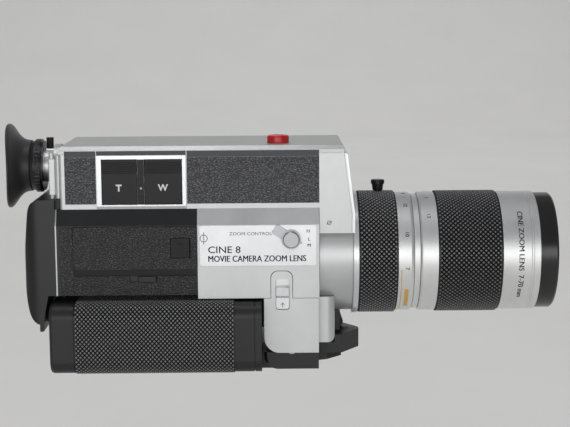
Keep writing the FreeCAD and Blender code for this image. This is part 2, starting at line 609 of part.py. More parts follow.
def release_nose():
    """Silver block below the lens, flat-sided with rounded corners, with the recess for the trigger."""
    side_view = rounded(box(BRACKET_X1, NOSE_X, -31, 31, *NOSE_Z), 3.5, AY, lambda c: c.x > 25 and c.z < 20)
    plan = rounded(box(BRACKET_X1, NOSE_X, -31, 31, *NOSE_Z), 5.0, AZ, lambda c: c.x > 25)
    return less(side_view.common(plan), cyl_x(34.8, 10, 45),
                box(25.0, 31.0, -TRIGGER_Y - 0.5, TRIGGER_Y + 0.5, 18.0, 34.0))


FLARE = ((14.3, 16.5), (12.6, 16.6), (10.4, 16.9), (8.0, 17.7), (6.2, 18.9), (4.8, 20.8), (3.9, 23.2), (3.4, 26.0),
         (3.2, 30.0), (3.2, 34.0))
FLARE_X = 29.0
GUARD_X = 28.2
DECK_Z = 5.6


def finger_guard():
    """Black prow: the finger rest flares out of a stalk that carries the trigger, over a stepped root."""
    curve = Part.BSplineCurve()
    curve.interpolate([V(FLARE_X + r, 0, z) for r, z in FLARE])
    ends = [V(FLARE_X + FLARE[-1][0], 0, FLARE[-1][1]), V(FLARE_X, 0, FLARE[-1][1]), V(FLARE_X, 0, DECK_Z),
            V(FLARE_X + FLARE[0][0], 0, DECK_Z), V(FLARE_X + FLARE[0][0], 0, FLARE[0][1])]
    wire = Part.Wire([curve.toShape()] + Part.makePolygon(ends).Edges)
    flare = Part.Face(wire).revolve(V(FLARE_X, 0, 0), AZ, 360)
    root = prism_y([(BRACKET_X1, 0.6), (32.4, 2.2), (32.4, 6.2), (BRACKET_X1, 6.2)], -16, 16)
    root = root.common(prism_z([(10, -16), (24, -16), (33, -10), (33, 10), (24, 16), (10, 16)], 0, 12))
    plan = prism_z([(10, -18), (32.5, -18), (43.3, -2.0), (43.3, 2.0), (32.5, 18), (10, 18)], -1, 40)
    deck = box(BRACKET_X1, 45, -18, 18, DECK_Z, 11.7).common(plan)
    prow = box(GUARD_X, 45, -18, 18, DECK_Z, FLARE[0][1]).common(plan)
    stalk = box(GUARD_X, 31.8, -9, 9, FLARE[0][1] - 1, 34)
    return less(
        join(prow, deck, root, flare.common(box(GUARD_X, 50, -20, 20, 0, 40)).common(plan), stalk),
        cyl_x(34.8, 10, 45),
        box(27, 40, -TRIGGER_Y - 0.3, TRIGGER_Y + 0.3, FLARE[0][1] + 1.5, 40),
        cyl_y(TRIGGER_PIN_R + RUN, -7.2, 7.2, *TRIGGER_PIN),
    )


def trigger():
    """Release lever on its cross pin."""
    x, z = TRIGGER_PIN
    blade = prism_y([(x - 1.7, 28.0), (x + 1.3, 28.0), (x + 1.9, 25.0), (x + 3.2, 21.6), (x + 2.4, 19.6),
                     (x + 0.6, 19.2), (x - 0.9, 21.4), (x - 1.7, 24.0)], -TRIGGER_Y, TRIGGER_Y)
    return join(blade.cut(cyl_x(35.0, 10, 45)), cyl_y(TRIGGER_PIN_R, -7.0, 7.0, x, z))


# ---------------------------------------------------------------- lens: fixed parts
MOUNT_X = 16.8
ZOOM_X = (42.0, 64.3)                      # rubber of the zoom ring
ZOOM_SCALE_X = (64.4, 73.4)
INDEX_X = (73.7, 77.0)
FOCUS_SCALE_X = (77.3, 87.3)
FOCUS_X = (87.4, 124.1)
BARREL_X = (124.4, 145.8)
FLANGE_X = (38.7, 41.75)
FLANGE_R = 36.4
RING_GEAR_X = (24.5, 31.0)
NECK_R = 28.4
CORE_R = 33.0
SLEEVE_R = 31.5


def front_housing():
    """Round lower half of the lens housing."""
    below = box(10, 50, -40, 40, 20, CHEEK_Z - 0.2)
    shell = tube_x(34.5, 31.2, BLOCK_X1 + 0.2, FRONT_X).common(below)
    front = tube_x(34.5, NECK_R + 1.4, FRONT_X - 2.0, FLANGE_X[0] - 0.1).common(below)
    return join(shell, front)


def front_bezel():
    """Leaning front plate of the upper housing, and the round flange behind the zoom ring."""
    lean = [(BROW_X + 0.1, ROOF_Z), (BROW_X + 2.1, ROOF_Z - 0.8), (FRONT_X + 2.0, 90.0), (FRONT_X + 2.0, CHEEK_Z),
            (FRONT_X, CHEEK_Z), (FRONT_X, 90.0)]
    joint = [(BROW_X, ROOF_Z + 1), (BROW_X + 0.55, ROOF_Z + 1), (FRONT_X + 0.45, 90.0), (FRONT_X + 0.45, 70.0),
             (FRONT_X - 1, 70.0), (FRONT_X - 1, 90.0)]
    rim = prism_y(joint, -40, 40).cut(box(0, 50, -UPPER_Y + 1.1, UPPER_Y - 1.1, 60, 130))
    plate = less(prism_y(lean, -UPPER_Y + 0.6, UPPER_Y - 0.6), cyl_x(29.8, 10, 50), rim)
    hub = tube_x(34.9, NECK_R + 1.4, FRONT_X + 1.0, FLANGE_X[0])
    return join(plate, hub.cut(box(30, 40, -40, 40, 0, CHEEK_Z)), tube_x(FLANGE_R, NECK_R + 1.4, *FLANGE_X))


def lens_tube():
    """Fixed tube on its mounting flange, with the index collar between the two rings."""
    tube = turned([(MOUNT_X, 23.0), (MOUNT_X, 29.6), (22.4, 29.6), (22.4, BARREL_R), (INDEX_X[0], BARREL_R),
                   (INDEX_X[0], 33.9), (INDEX_X[1], 33.9), (INDEX_X[1], BARREL_R), (107.6, BARREL_R),
                   (107.6, 23.0), (98.0, 23.0), (98.0, 21.0), (96.0, 21.0), (96.0, 23.0)])
    return tube


# ---------------------------------------------------------------- lens: moving parts
KNOB_X = 54.7


def zoom_core():
    core = turned([(23.2, BARREL_R + RUN), (23.2, NECK_R), (ZOOM_X[0], NECK_R), (ZOOM_X[0], CORE_R),
                   (ZOOM_SCALE_X[1] - 0.1, CORE_R), (ZOOM_SCALE_X[1] - 0.1, BARREL_R + RUN)])
    gear = gear_prism(ZOOM_TEETH, GEAR_MODULE, math.radians(ZOOM_PINION_ANGLE), *RING_GEAR_X, 0.0, LENS_Z)
    gear = gear.cut(cyl_x(NECK_R - 0.6, 20, 35))
    return join(core, gear).cut(cyl_z(2.0, 94.0, 100, KNOB_X, 0))


def zoom_grip():
    return tube_x(RING_R, CORE_R, *ZOOM_X).cut(cyl_z(2.0, 90, 110, KNOB_X, 0))


def zoom_scale():
    return turned([(ZOOM_SCALE_X[0], CORE_R), (ZOOM_SCALE_X[0], 35.0), (ZOOM_SCALE_X[1] - 1.5, 35.0),
                   (ZOOM_SCALE_X[1], 34.2), (ZOOM_SCALE_X[1], CORE_R)])


def zoom_knob():
    x = KNOB_X
    waist = Part.makeCone(3.0, 3.5, 3.8, V(x, 0, 99.6), AZ)
    top = cyl_z(4.0, 103.4, 105.8, x, 0)
    top = top.makeFillet(0.7, [e for e in top.Edges if e.CenterOfMass.z > 105.5])
    return join(waist, top, cyl_z(2.0, 94.0, 99.8, x, 0))


def focus_core():
    return turned([(FOCUS_SCALE_X[0], BARREL_R + RUN), (FOCUS_SCALE_X[0], CORE_R), (FOCUS_X[1], CORE_R),
                   (FOCUS_X[1], SLEEVE_R + RUN), (108.0, SLEEVE_R + RUN), (108.0, BARREL_R + RUN)])


def focus_grip():
    return tube_x(RING_R - 0.3, CORE_R, *FOCUS_X)


def focus_scale():
    return turned([(FOCUS_SCALE_X[0], CORE_R), (FOCUS_SCALE_X[0], 34.4), (FOCUS_SCALE_X[0] + 1.0, 35.1),
                   (FOCUS_SCALE_X[1], 35.1), (FOCUS_SCALE_X[1], CORE_R)])


def front_barrel():
    return turned([(111.0, 28.2), (111.0, SLEEVE_R), (BARREL_X[0], SLEEVE_R), (BARREL_X[0], 35.0),
                   (140.6, 35.0), (141.0, 34.5), (141.8, 34.5), (142.2, 35.0), (BARREL_X[1], 35.0),
                   (BARREL_X[1], 29.5), (135.0, 29.5), (135.0, 28.2)])


def hood_ring():
    return turned([(146.0, 27.6), (146.0, 34.1), (155.3, 34.1), (LENS_FRONT_X, 33.2), (LENS_FRONT_X, FILTER_R),
                   (LENS_FRONT_X - 5.0, FILTER_R), (LENS_FRONT_X - 5.0, 29.6), (149.0, 27.6)])


def bulging_disc(r, x0, x1, ball_front, ball_rear, y=0.0, z=LENS_Z):
    """Lens element with spherical faces, convex both ways."""
    disc = cyl_x(r, x0, x1, y, z)
    front = Part.makeSphere(ball_front, V(x1 - ball_front, y, z))
    rear = Part.makeSphere(ball_rear, V(x0 + ball_rear, y, z))
    return disc.common(front).common(rear)


def front_lens():
    return bulging_disc(29.4, 135.1, 147.4, 70.0, 400.0)


def variator():
    """Sliding cell of the zoom group."""
    return turned([(58.0, 17.0), (58.0, 22.95), (70.0, 22.95), (70.0, 17.0), (66.0, 17.0), (66.0, 15.5),
                   (62.0, 15.5), (62.0, 17.0)])


# ---------------------------------------------------------------- drives and inner optics
def polar(r, degrees, z):
    a = math.radians(degrees)
    return r * math.cos(a), z + r * math.sin(a)


ZOOM_AXIS = polar((ZOOM_TEETH + ZOOM_PINION_TEETH) * GEAR_MODULE / 2, ZOOM_PINION_ANGLE, LENS_Z)
MOTOR_AXIS = polar((SHUTTER_TEETH + MOTOR_TEETH) * DRIVE_MODULE / 2, MOTOR_ANGLE, SHUTTER_Z)


def facing(teeth, degrees):
    """Phase that puts a gap towards a partner whose tooth points at us from the opposite side."""
    return math.radians(degrees + 180) + math.pi / teeth


def zoom_pinion():
    gear = gear_prism(ZOOM_PINION_TEETH, GEAR_MODULE, facing(ZOOM_PINION_TEETH, ZOOM_PINION_ANGLE),
                      RING_GEAR_X[0] + 0.2, RING_GEAR_X[1] - 0.2, *ZOOM_AXIS)
    return join(gear, cyl_x(1.2, 17.0, 33.0, *ZOOM_AXIS))


def motor_pinion():
    gear = gear_prism(MOTOR_TEETH, DRIVE_MODULE, facing(MOTOR_TEETH, MOTOR_ANGLE), -36.0, -32.0, *MOTOR_AXIS)
    return join(gear, cyl_x(1.0, -36.5, -27.8, *MOTOR_AXIS))


def shutter():
    """Shutter disc with its open sector, on the geared shaft."""
    disc = cyl_x(22.0, -41.2, -40.6, 0, SHUTTER_Z)
    sector = prism_x([(0, SHUTTER_Z - 4), (-30, SHUTTER_Z - 34), (30, SHUTTER_Z - 34)], -42, -40)
    gear = gear_prism(SHUTTER_TEETH, DRIVE_MODULE, math.radians(MOTOR_ANGLE), -36.2, -31.8, 0.0, SHUTTER_Z)
    return join(disc.cut(sector), gear, cyl_x(2.0, -42.2, -28.0, 0, SHUTTER_Z))


def motors():
    """Zoom motor and film drive motor."""
    zoom = join(cyl_x(8.0, -14.0, 13.2, *ZOOM_AXIS), cyl_x(3.0, 13.2, 16.4, *ZOOM_AXIS))
    drive = join(cyl_x(8.0, -24.0, -4.0, *MOTOR_AXIS), cyl_x(3.0, -27.0, -24.0, *MOTOR_AXIS))
    return group([zoom, drive])


def optical_frame():
    """Inner chassis: lens wall, relay tube, and the finder tube up in the housing."""
    wall = box(13.6, 16.6, -30, 30, BLOCK_Z0 + WALL + 0.3, 91.0)
    shelf = box(-40, 13.6, -28, 28, BLOCK_Z0 + WALL + 0.3, BLOCK_Z0 + WALL + 2.3)
    relay = cyl_x(12.8, -24, 13.6)
    webs = [box(x, x + 2, -12, 12, BLOCK_Z0 + WALL + 1, LENS_Z - 6) for x in (-22.0, -6.0)]
    riser = box(12.0, 16.6, -13, -10, 88.0, EYE_Z), box(12.0, 16.6, 10, 13, 88.0, EYE_Z)
    finder = cyl_x(EYE_TUBE_R - 0.1, REAR_X + 3.0, 1.0, 0, EYE_Z)
    collar = box(12.0, 16.6, -13, 13, EYE_Z - 10, EYE_Z + 8.0)
    saddle = box(-1.0, 12.5, -11, -7.4, EYE_Z - 9, EYE_Z - 5), box(-1.0, 12.5, 7.4, 11, EYE_Z - 9, EYE_Z - 5)
    frame = join(wall, shelf, relay, *webs, *riser, finder, collar, *saddle)
    return less(
        frame,
        cyl_x(11.0, -25, 20),
        cyl_x(EYE_TUBE_R - 1.3, REAR_X, 20, 0, EYE_Z),
        box(1.4, 12.0, -7.2, 7.2, LENS_Z, LENS_Z + 20),
        cyl_x(8.4, -15, 20, *ZOOM_AXIS),
    )


def inner_lenses():
    """Relay and finder elements, eye lens, and the two splitter prisms."""
    relay = [bulging_disc(11.0, x, x + 4, 30.0, 60.0) for x in (-22.0, -12.0, -3.0)]
    finder = [bulging_disc(EYE_TUBE_R - 1.3, x, x + 3.5, 25.0, 40.0, 0, EYE_Z) for x in (-110.0, -60.0, -10.0)]
    eye = [bulging_disc(EYE_TUBE_R - 1.5, -146.5, -142.0, 30.0, 22.0, 0, EYE_Z)]
    prisms = [box(2.0, 11.4, -4.8, 4.8, z - 4.8, z + 4.8) for z in (LENS_Z, EYE_Z)]
    return group(relay + finder + eye + prisms)


# ---------------------------------------------------------------- eyepiece
def eyepiece_tube():
    tube = tube_x(EYE_TUBE_R, EYE_TUBE_R - 1.5, -148.2, REAR_X + 2.8, 0, EYE_Z)
    collar = tube_x(12.6, EYE_TUBE_R - 1, REAR_X - 6.4, REAR_X - 2.6, 0, EYE_Z)
    pad = box(-139.8, REAR_X - 3.2, -3.2, 3.2, EYE_Z + EYE_TUBE_R - 0.4, LOCK_FOOT_Z)
    return join(tube, collar, pad).cut(cyl_z(1.1 + RUN, EYE_Z + EYE_TUBE_R - 1, LOCK_FOOT_Z + 1, -137.8, 0))


LOCK_FOOT_Z = 125.8


def dioptre_lock():
    knob = cyl_z(2.1, LOCK_FOOT_Z + 0.2, 132.2, -137.8, 0)
    flutes = [cyl_z(0.35, 123, 135, -137.8 + 2.25 * math.cos(a), 2.25 * math.sin(a))
              for a in [2 * math.pi * k / 12 for k in range(12)]]
    return join(less(knob, *flutes), cyl_z(1.1, EYE_Z + EYE_TUBE_R - 0.6, LOCK_FOOT_Z + 0.4, -137.8, 0))


def dioptre_ring():
    """Satin setting ring and the black barrel in front of the eyecup."""
    inner = EYE_TUBE_R + RUN
    ring = turned([(-151.4, inner), (-151.4, 13.2), (-146.2, 14.8), (-145.6, 14.8), (-145.6, 15.6),
                   (-142.4, 15.6), (-142.4, 14.6), (-141.0, 14.6), (-141.0, inner)], 0, EYE_Z)
    flutes = [cyl_x(0.35, -146, -142, *polar(15.75, 9 * k, EYE_Z)) for k in range(40)]
    return less(ring, *flutes)


def eyecup():
    """Soft rubber cup, flared to the rear."""
    return turned([(-162.6, 24.6), (-161.4, 24.7), (-158.8, 23.9), (-155.2, 18.8), (-152.6, 15.9),
                   (-148.4, 15.0), (-148.4, 14.25), (-151.6, 13.3), (-151.6, 12.2), (-153.2, 12.2),
                   (-153.6, 13.8), (-156.0, 17.0), (-159.4, 22.3), (-161.9, 23.2)], 0, EYE_Z)


# ---------------------------------------------------------------- folding grip
def grip_section(x0, x1, grow, corner):
    body = box(x0, x1, GRIP_Y0 - grow, GRIP_Y1 + grow, GRIP_Z0 - grow, GRIP_Z1 + grow)
    return rounded(body, corner, AX)


def grip_shell():
    """Battery grip with its bearing knuckle."""
    outer = grip_section(CAP_X, GRIP_X1, 0, 8.0)
    cells = grip_section(CAP_X - 1, GRIP_X1 - 3.0, -GRIP_WALL, 5.6)
    knuckle = cyl_y(KNUCKLE_R, KNUCKLE_Y0, KNUCKLE_Y1, PIVOT_X, PIVOT_Z)
    arm = box(GRIP_X1 - 1, PIVOT_X, KNUCKLE_Y0, KNUCKLE_Y1, PIVOT_Z - KNUCKLE_R, COVER_Z0 - 0.3)
    end_groove = grip_section(-18.4, -17.8, 1, 8.0).cut(grip_section(-19, -17, -0.5, 7.5))
    return less(join(outer, knuckle, arm), cells, end_groove,
                grip_section(CAP_X - 1, SKIN_X1, 2, 8.0).cut(grip_section(CAP_X - 2, SKIN_X1 + 1, -0.6, 7.4)),
                cyl_y(PIN_R + RUN, -40, 0, PIVOT_X, PIVOT_Z))


def grip_sleeve():
    outer = grip_section(CAP_X + 0.2, SKIN_X1, SLEEVE, 8.5)
    return outer.cut(grip_section(CAP_X - 1, SKIN_X1 + 1, -0.6, 7.4))


def battery_cap():
    cap = grip_section(GRIP_X0, CAP_X, 0, 8.0)
    cap = cap.makeFillet(2.2, [e for e in cap.Edges if e.CenterOfMass.x < GRIP_X0 + 0.1])
    spigot = grip_section(CAP_X - 1, CAP_X + 1.2, -GRIP_WALL - 0.1, 5.5)
    hollow = grip_section(CAP_X - 6.0, CAP_X + 5.0, -GRIP_WALL - 1.6, 4.0)
    y, z = (GRIP_Y0 + GRIP_Y1) / 2, (GRIP_Z0 + GRIP_Z1) / 2
    return less(join(cap, spigot), hollow, cyl_x(7.0, GRIP_X0 - 1, GRIP_X0 + 2.2, y, z),
                cyl_x(2.0 + RUN, GRIP_X0, CAP_X, y, z))


def cap_screw():
    """Coin screw that holds the battery cap."""
    y, z = (GRIP_Y0 + GRIP_Y1) / 2, (GRIP_Z0 + GRIP_Z1) / 2
    head = cyl_x(6.6, GRIP_X0 - 0.1, GRIP_X0 + 2.0, y, z)
    slot = box(GRIP_X0 - 1, GRIP_X0 + 0.9, y - 8, y + 8, z - 0.7, z + 0.7)
    return join(head.cut(slot), cyl_x(2.0, GRIP_X0 + 1, CAP_X + 2.0, y, z))


# ---------------------------------------------------------------- files
NODES = {
    "upper_housing": upper_housing,
    "top_cover": top_cover,
    "top_button": top_button,
    "button_bezel": zoom_button_bezel,
    "tele_button": lambda: zoom_button(TELE_X),
    "wide_button": lambda: zoom_button(WIDE_X),
    "leatherette": leatherette_panels,
    "counter_window": counter_window,
    "main_body": main_body,
    "rear_cover": rear_cover,
    "rear_fittings": rear_fittings,
    "side_switch": side_switch,
    "socket_cover": socket_cover,
    "film_door": film_door,
    "door_window": door_window,
    "door_latch": door_latch,
    "hinge_pins": hinge_pins,
    "take_up_spindle": take_up_spindle,
    "film_gate": film_gate,
    "right_front_cover": right_front_cover,
    "left_front_cover": left_front_cover,
    "bracket_cover": bracket_cover_right,
    "grip_lock": grip_lock_slider,
    "speed_dial": speed_dial,
    "name_plate": name_plate,
    "zoom_dial": zoom_dial,
    "base_block": base_block,
    "tripod_bush": tripod_bush,
    "screws": screws,
    "release_nose": release_nose,
    "finger_guard": finger_guard,
    "trigger": trigger,
    "front_housing": front_housing,
    "front_bezel": front_bezel,
    "lens_tube": lens_tube,
    "zoom_core": zoom_core,
    "zoom_grip": zoom_grip,
    "zoom_scale": zoom_scale,
    "zoom_knob": zoom_knob,
    "focus_core": focus_core,
    "focus_grip": focus_grip,
    "focus_scale": focus_scale,
    "front_barrel": front_barrel,
    "front_lens": front_lens,
    "hood_ring": hood_ring,
    "variator": variator,
    "motors": motors,
    "zoom_pinion": zoom_pinion,
    "motor_pinion": motor_pinion,
    "shutter": shutter,
    "optical_frame": optical_frame,
    "inner_lenses": inner_lenses,
    "eyepiece_tube": eyepiece_tube,
    "dioptre_lock": dioptre_lock,
    "dioptre_ring": dioptre_ring,
    "eyecup": eyecup,
    "grip_shell": grip_shell,
    "grip_sleeve": grip_sleeve,
    "battery_cap": battery_cap,
    "cap_screw": cap_screw,
}

os.makedirs("parts", exist_ok=True)
for name, make in NODES.items():
    make().exportStep("parts/" + name + ".step")
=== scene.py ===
import math

import bpy
from mathutils import Matrix, Vector


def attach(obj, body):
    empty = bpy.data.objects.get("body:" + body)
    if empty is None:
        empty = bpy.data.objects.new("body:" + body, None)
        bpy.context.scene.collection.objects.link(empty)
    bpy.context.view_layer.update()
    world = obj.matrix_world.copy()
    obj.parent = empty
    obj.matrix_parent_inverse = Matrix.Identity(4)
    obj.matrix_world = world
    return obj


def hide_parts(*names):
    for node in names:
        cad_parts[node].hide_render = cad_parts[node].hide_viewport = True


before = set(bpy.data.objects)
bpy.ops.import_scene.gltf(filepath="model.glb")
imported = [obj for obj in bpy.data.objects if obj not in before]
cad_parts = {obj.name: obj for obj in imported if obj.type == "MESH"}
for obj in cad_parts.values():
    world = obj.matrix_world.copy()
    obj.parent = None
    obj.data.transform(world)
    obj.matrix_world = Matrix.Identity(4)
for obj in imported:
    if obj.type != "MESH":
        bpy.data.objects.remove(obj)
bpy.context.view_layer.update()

# Looks of the cine camera: moulded knurls, soft eyecup, printed marks, finishes, light and view.
# Scene lengths are metres: +X to the lens front, +Z up, -Y the operator's right. Shape helpers take millimetres
# where they say so, and the marks are placed in millimetres.

MM = 0.001
LENS_Z = 0.0630                 # height of the lens axis
EYE_Z = 0.1157                  # height of the finder axis
BELT_Z = 0.093                  # the upper housing begins above this height
KNURL = 0.85                    # depth of the lens knurls, millimetres
SLEEVE_KNURL = 0.60             # depth of the grip knurl, millimetres
ZOOM_GRIP_R = 36.1              # over the crowns, millimetres
FOCUS_GRIP_R = 35.8
SLEEVE_BOX = (-47.45, -13.25, 0.55, 40.85)      # y0, y1, z0, z1 of the sleeve's grooves, millimetres
SLEEVE_CORNER = 8.0


# ---------------------------------------------------------------- material helpers
class Finish:
    """One node material built around a Principled shader."""

    def __init__(self, name, **constants):
        self.material = bpy.data.materials.new(name)
        self.material.use_nodes = True
        self.tree = self.material.node_tree
        self.shader = self.tree.nodes["Principled BSDF"]
        for socket, value in constants.items():
            self.shader.inputs[socket.replace("_", " ")].default_value = value
        self.coords = self.node("ShaderNodeTexCoord").outputs["Object"]

    def node(self, kind, **settings):
        made = self.tree.nodes.new(kind)
        for key, value in settings.items():
            setattr(made, key, value)
        return made

    def link(self, output, socket):
        self.tree.links.new(output, socket)

    def stretched(self, scale):
        mapping = self.node("ShaderNodeMapping")
        mapping.inputs["Scale"].default_value = scale
        self.link(self.coords, mapping.inputs["Vector"])
        return mapping.outputs["Vector"]

    def noise(self, scale, detail=3.0, roughness=0.55, vector=None):
        made = self.node("ShaderNodeTexNoise")
        made.inputs["Scale"].default_value = scale
        made.inputs["Detail"].default_value = detail
        made.inputs["Roughness"].default_value = roughness
        self.link(vector or self.coords, made.inputs["Vector"])
        return made.outputs["Fac"]

    def cells(self, scale, feature="F1", smoothness=None, vector=None):
        made = self.node("ShaderNodeTexVoronoi", feature=feature)
        made.inputs["Scale"].default_value = scale
        if smoothness is not None:
            made.inputs["Smoothness"].default_value = smoothness
        self.link(vector or self.coords, made.inputs["Vector"])
        return made.outputs["Distance"]

    def ramp(self, value, *stops):
        """Colour ramp through (position, colour or grey) stops."""
        made = self.node("ShaderNodeValToRGB")
        elements = made.color_ramp.elements
        while len(elements) < len(stops):
            elements.new(0.5)
        for element, (position, colour) in zip(elements, stops):
            element.position = position
            if not isinstance(colour, (tuple, list)):
                colour = (colour,) * 3
            element.color = (*colour[:3], 1.0)
        self.link(value, made.inputs["Fac"])
        return made.outputs["Color"]

    def mixed(self, factor, low, high):
        made = self.node("ShaderNodeMix", data_type="RGBA")
        for value, socket in ((factor, made.inputs[0]), (low, made.inputs[6]), (high, made.inputs[7])):
            if isinstance(value, (int, float)):
                socket.default_value = value
            elif isinstance(value, (tuple, list)):
                socket.default_value = (*value[:3], 1.0)
            else:
                self.link(value, socket)
        return made.outputs[2]

    def math(self, operation, first, second, clamp=False):
        made = self.node("ShaderNodeMath", operation=operation, use_clamp=clamp)
        for value, socket in ((first, made.inputs[0]), (second, made.inputs[1])):
            if isinstance(value, (int, float)):
                socket.default_value = value
            else:
                self.link(value, socket)
        return made.outputs[0]

    def soft_edges(self, radius):
        made = self.node("ShaderNodeBevel", samples=4)
        made.inputs["Radius"].default_value = radius
        return made.outputs["Normal"]

    def edge_mask(self, radius):
        """White along sharp outer edges, black on flats."""
        geometry = self.node("ShaderNodeNewGeometry")
        dot = self.node("ShaderNodeVectorMath", operation="DOT_PRODUCT")
        self.link(self.soft_edges(radius), dot.inputs[0])
        self.link(geometry.outputs["Normal"], dot.inputs[1])
        return self.ramp(dot.outputs["Value"], (0.90, 1.0), (0.995, 0.0))

    def bump(self, *layers, edges=None):
        """Stack of (height, strength, depth in metres) bump layers on rounded edges."""
        normal = self.soft_edges(edges) if edges else None
        for height, strength, depth in layers:
            made = self.node("ShaderNodeBump")
            made.inputs["Strength"].default_value = strength
            made.inputs["Distance"].default_value = depth
            self.link(height, made.inputs["Height"])
            if normal is not None:
                self.link(normal, made.inputs["Normal"])
            normal = made.outputs["Normal"]
        self.link(normal, self.shader.inputs["Normal"])

    def set(self, socket, value):
        self.link(value, self.shader.inputs[socket])


def scaled(colour, factor, offset=0.0):
    return tuple(min(1.0, c * factor + offset) for c in colour)


def enamel(name, colour, paler, rough, metal, grain=5200.0, edge=0.35 * MM, edge_paling=0.5):
    """Sprayed or satin-plated casting: fine grain, slight clouding, rubbed edges."""
    f = Finish(name, Metallic=metal)
    cloud = f.noise(38.0, 4.0)
    fine = f.noise(grain, 2.0)
    scuff = f.noise(260.0, 6.0, 0.7)
    base = f.ramp(cloud, (0.30, scaled(colour, 0.93)), (0.70, scaled(colour, 1.05)))
    pale_edges = f.math("MULTIPLY", f.edge_mask(edge * 1.6), f.ramp(scuff, (0.44, 0.0), (0.62, edge_paling)))
    f.set("Base Color", f.mixed(pale_edges, base, paler))
    f.set("Roughness", f.ramp(f.mixed(0.5, cloud, scuff), (0.25, rough * 0.85), (0.75, rough * 1.2)))
    f.bump((fine, 0.25, 0.02 * MM), (scuff, 0.06, 0.03 * MM), edges=edge)
    return f.material


def turned_metal(name, colour, rough, lines=9000.0, metal=1.0, edge=0.25 * MM, paler=None):
    """Metal turned about the lens axis: fine rings that run round X, under a satin finish."""
    f = Finish(name, Metallic=metal)
    rings = f.noise(1.0, 2.0, 0.6, f.stretched((lines, 25.0, 25.0)))
    cloud = f.noise(45.0, 4.0)
    base = f.ramp(f.mixed(0.45, cloud, rings), (0.32, scaled(colour, 0.92)), (0.68, scaled(colour, 1.06)))
    if paler:
        scuff = f.noise(300.0, 5.0, 0.7)
        pale_edges = f.math("MULTIPLY", f.edge_mask(edge * 1.6), f.ramp(scuff, (0.42, 0.0), (0.60, 0.8)))
        base = f.mixed(pale_edges, base, paler)
    f.set("Base Color", base)
    f.set("Roughness", f.ramp(f.mixed(0.5, rings, cloud), (0.3, rough * 0.8), (0.7, rough * 1.25)))
    f.bump((rings, 0.22, 0.012 * MM), edges=edge)
    return f.material


def bright_metal(name, colour, rough, edge=0.3 * MM):
    """Plated bright work with faint straight polishing lines and fingerprints."""
    f = Finish(name, Metallic=1.0)
    lines = f.noise(1.0, 2.0, 0.6, f.stretched((120.0, 7000.0, 7000.0)))
    haze = f.noise(90.0, 5.0, 0.65)
    f.set("Base Color", f.ramp(haze, (0.3, scaled(colour, 0.95)), (0.7, colour)))
    f.set("Roughness", f.ramp(haze, (0.35, rough), (0.70, rough * 2.0)))
    f.bump((lines, 0.10, 0.008 * MM), edges=edge)
    return f.material


def moulded(name, colour, rough, grain=2600.0, depth=0.03 * MM, edge=0.3 * MM, shine=0.5, edge_paling=0.35):
    """Black moulding with a spark-eroded grain, paler along its edges: handling wear and a painted edge highlight.
    """
    f = Finish(name, Specular_IOR_Level=shine)
    grain_height = f.cells(grain, "SMOOTH_F1", 0.6)
    cloud = f.noise(60.0, 4.0)
    dust = f.noise(700.0, 4.0, 0.7)
    base = f.ramp(cloud, (0.3, scaled(colour, 0.85)), (0.7, scaled(colour, 1.2)))
    base = f.mixed(f.ramp(dust, (0.66, 0.0), (0.80, 0.22)), base, scaled(colour, 2.6, 0.01))
    # Every outer edge is paler by the same share: handling wear and a painted edge highlight.
    pale_edges = f.math("MULTIPLY", f.edge_mask(edge * 1.5), edge_paling)
    f.set("Base Color", f.mixed(pale_edges, base, scaled(colour, 2.2, 0.012)))
    f.set("Roughness", f.ramp(f.mixed(0.5, cloud, dust), (0.3, rough * 0.85), (0.75, rough * 1.2)))
    f.bump((grain_height, 0.35, depth), edges=edge)
    return f.material


def grained_leather(name):
    """Vinyl leather: pebbles about 2 mm by 1 mm, drawn out along the panel, with fine creases.

    The panels below the belt are darker than those on the upper housing."""
    pebbles = 1080.0
    reach = 0.2
    f = Finish(name, Specular_IOR_Level=0.55)
    wander = f.node("ShaderNodeVectorMath", operation="ADD")
    warp = f.node("ShaderNodeTexNoise")
    warp.inputs["Scale"].default_value = 520.0
    f.link(f.coords, warp.inputs["Vector"])
    small = f.node("ShaderNodeVectorMath", operation="SCALE")
    small.inputs["Scale"].default_value = 0.0014
    f.link(warp.outputs["Color"], small.inputs[0])
    f.link(f.stretched((0.55, 1.0, 1.25)), wander.inputs[0])
    f.link(small.outputs[0], wander.inputs[1])
    pebble = f.cells(pebbles, "SMOOTH_F1", 0.35, wander.outputs[0])
    crease = f.cells(pebbles, "DISTANCE_TO_EDGE", vector=wander.outputs[0])
    fine = f.noise(4800.0, 3.0)
    height = f.math("SUBTRACT", f.ramp(crease, (0.0, 0.0), (0.22, 1.0)), f.math("MULTIPLY", pebble, 0.9))
    # Painted shade: the colour follows the grain height, darker down in the creases than on the pebble tops.
    upper = f.ramp(height, (0.05, (0.034, 0.034, 0.036)), (0.75, (0.150, 0.151, 0.157)))
    lower = f.ramp(height, (0.05, (0.010, 0.010, 0.011)), (0.75, (0.055, 0.055, 0.056)))
    level = f.node("ShaderNodeSeparateXYZ")
    f.link(f.coords, level.inputs[0])
    belt = BELT_Z / reach
    above = f.ramp(f.math("DIVIDE", level.outputs["Z"], reach), (belt - 0.005, 0.0), (belt + 0.005, 1.0))
    f.set("Base Color", f.mixed(above, lower, upper))
    f.set("Roughness", f.ramp(f.noise(120.0, 4.0), (0.3, 0.40), (0.7, 0.52)))
    f.bump((height, 0.9, 0.17 * MM), (fine, 0.15, 0.02 * MM))
    return f.material


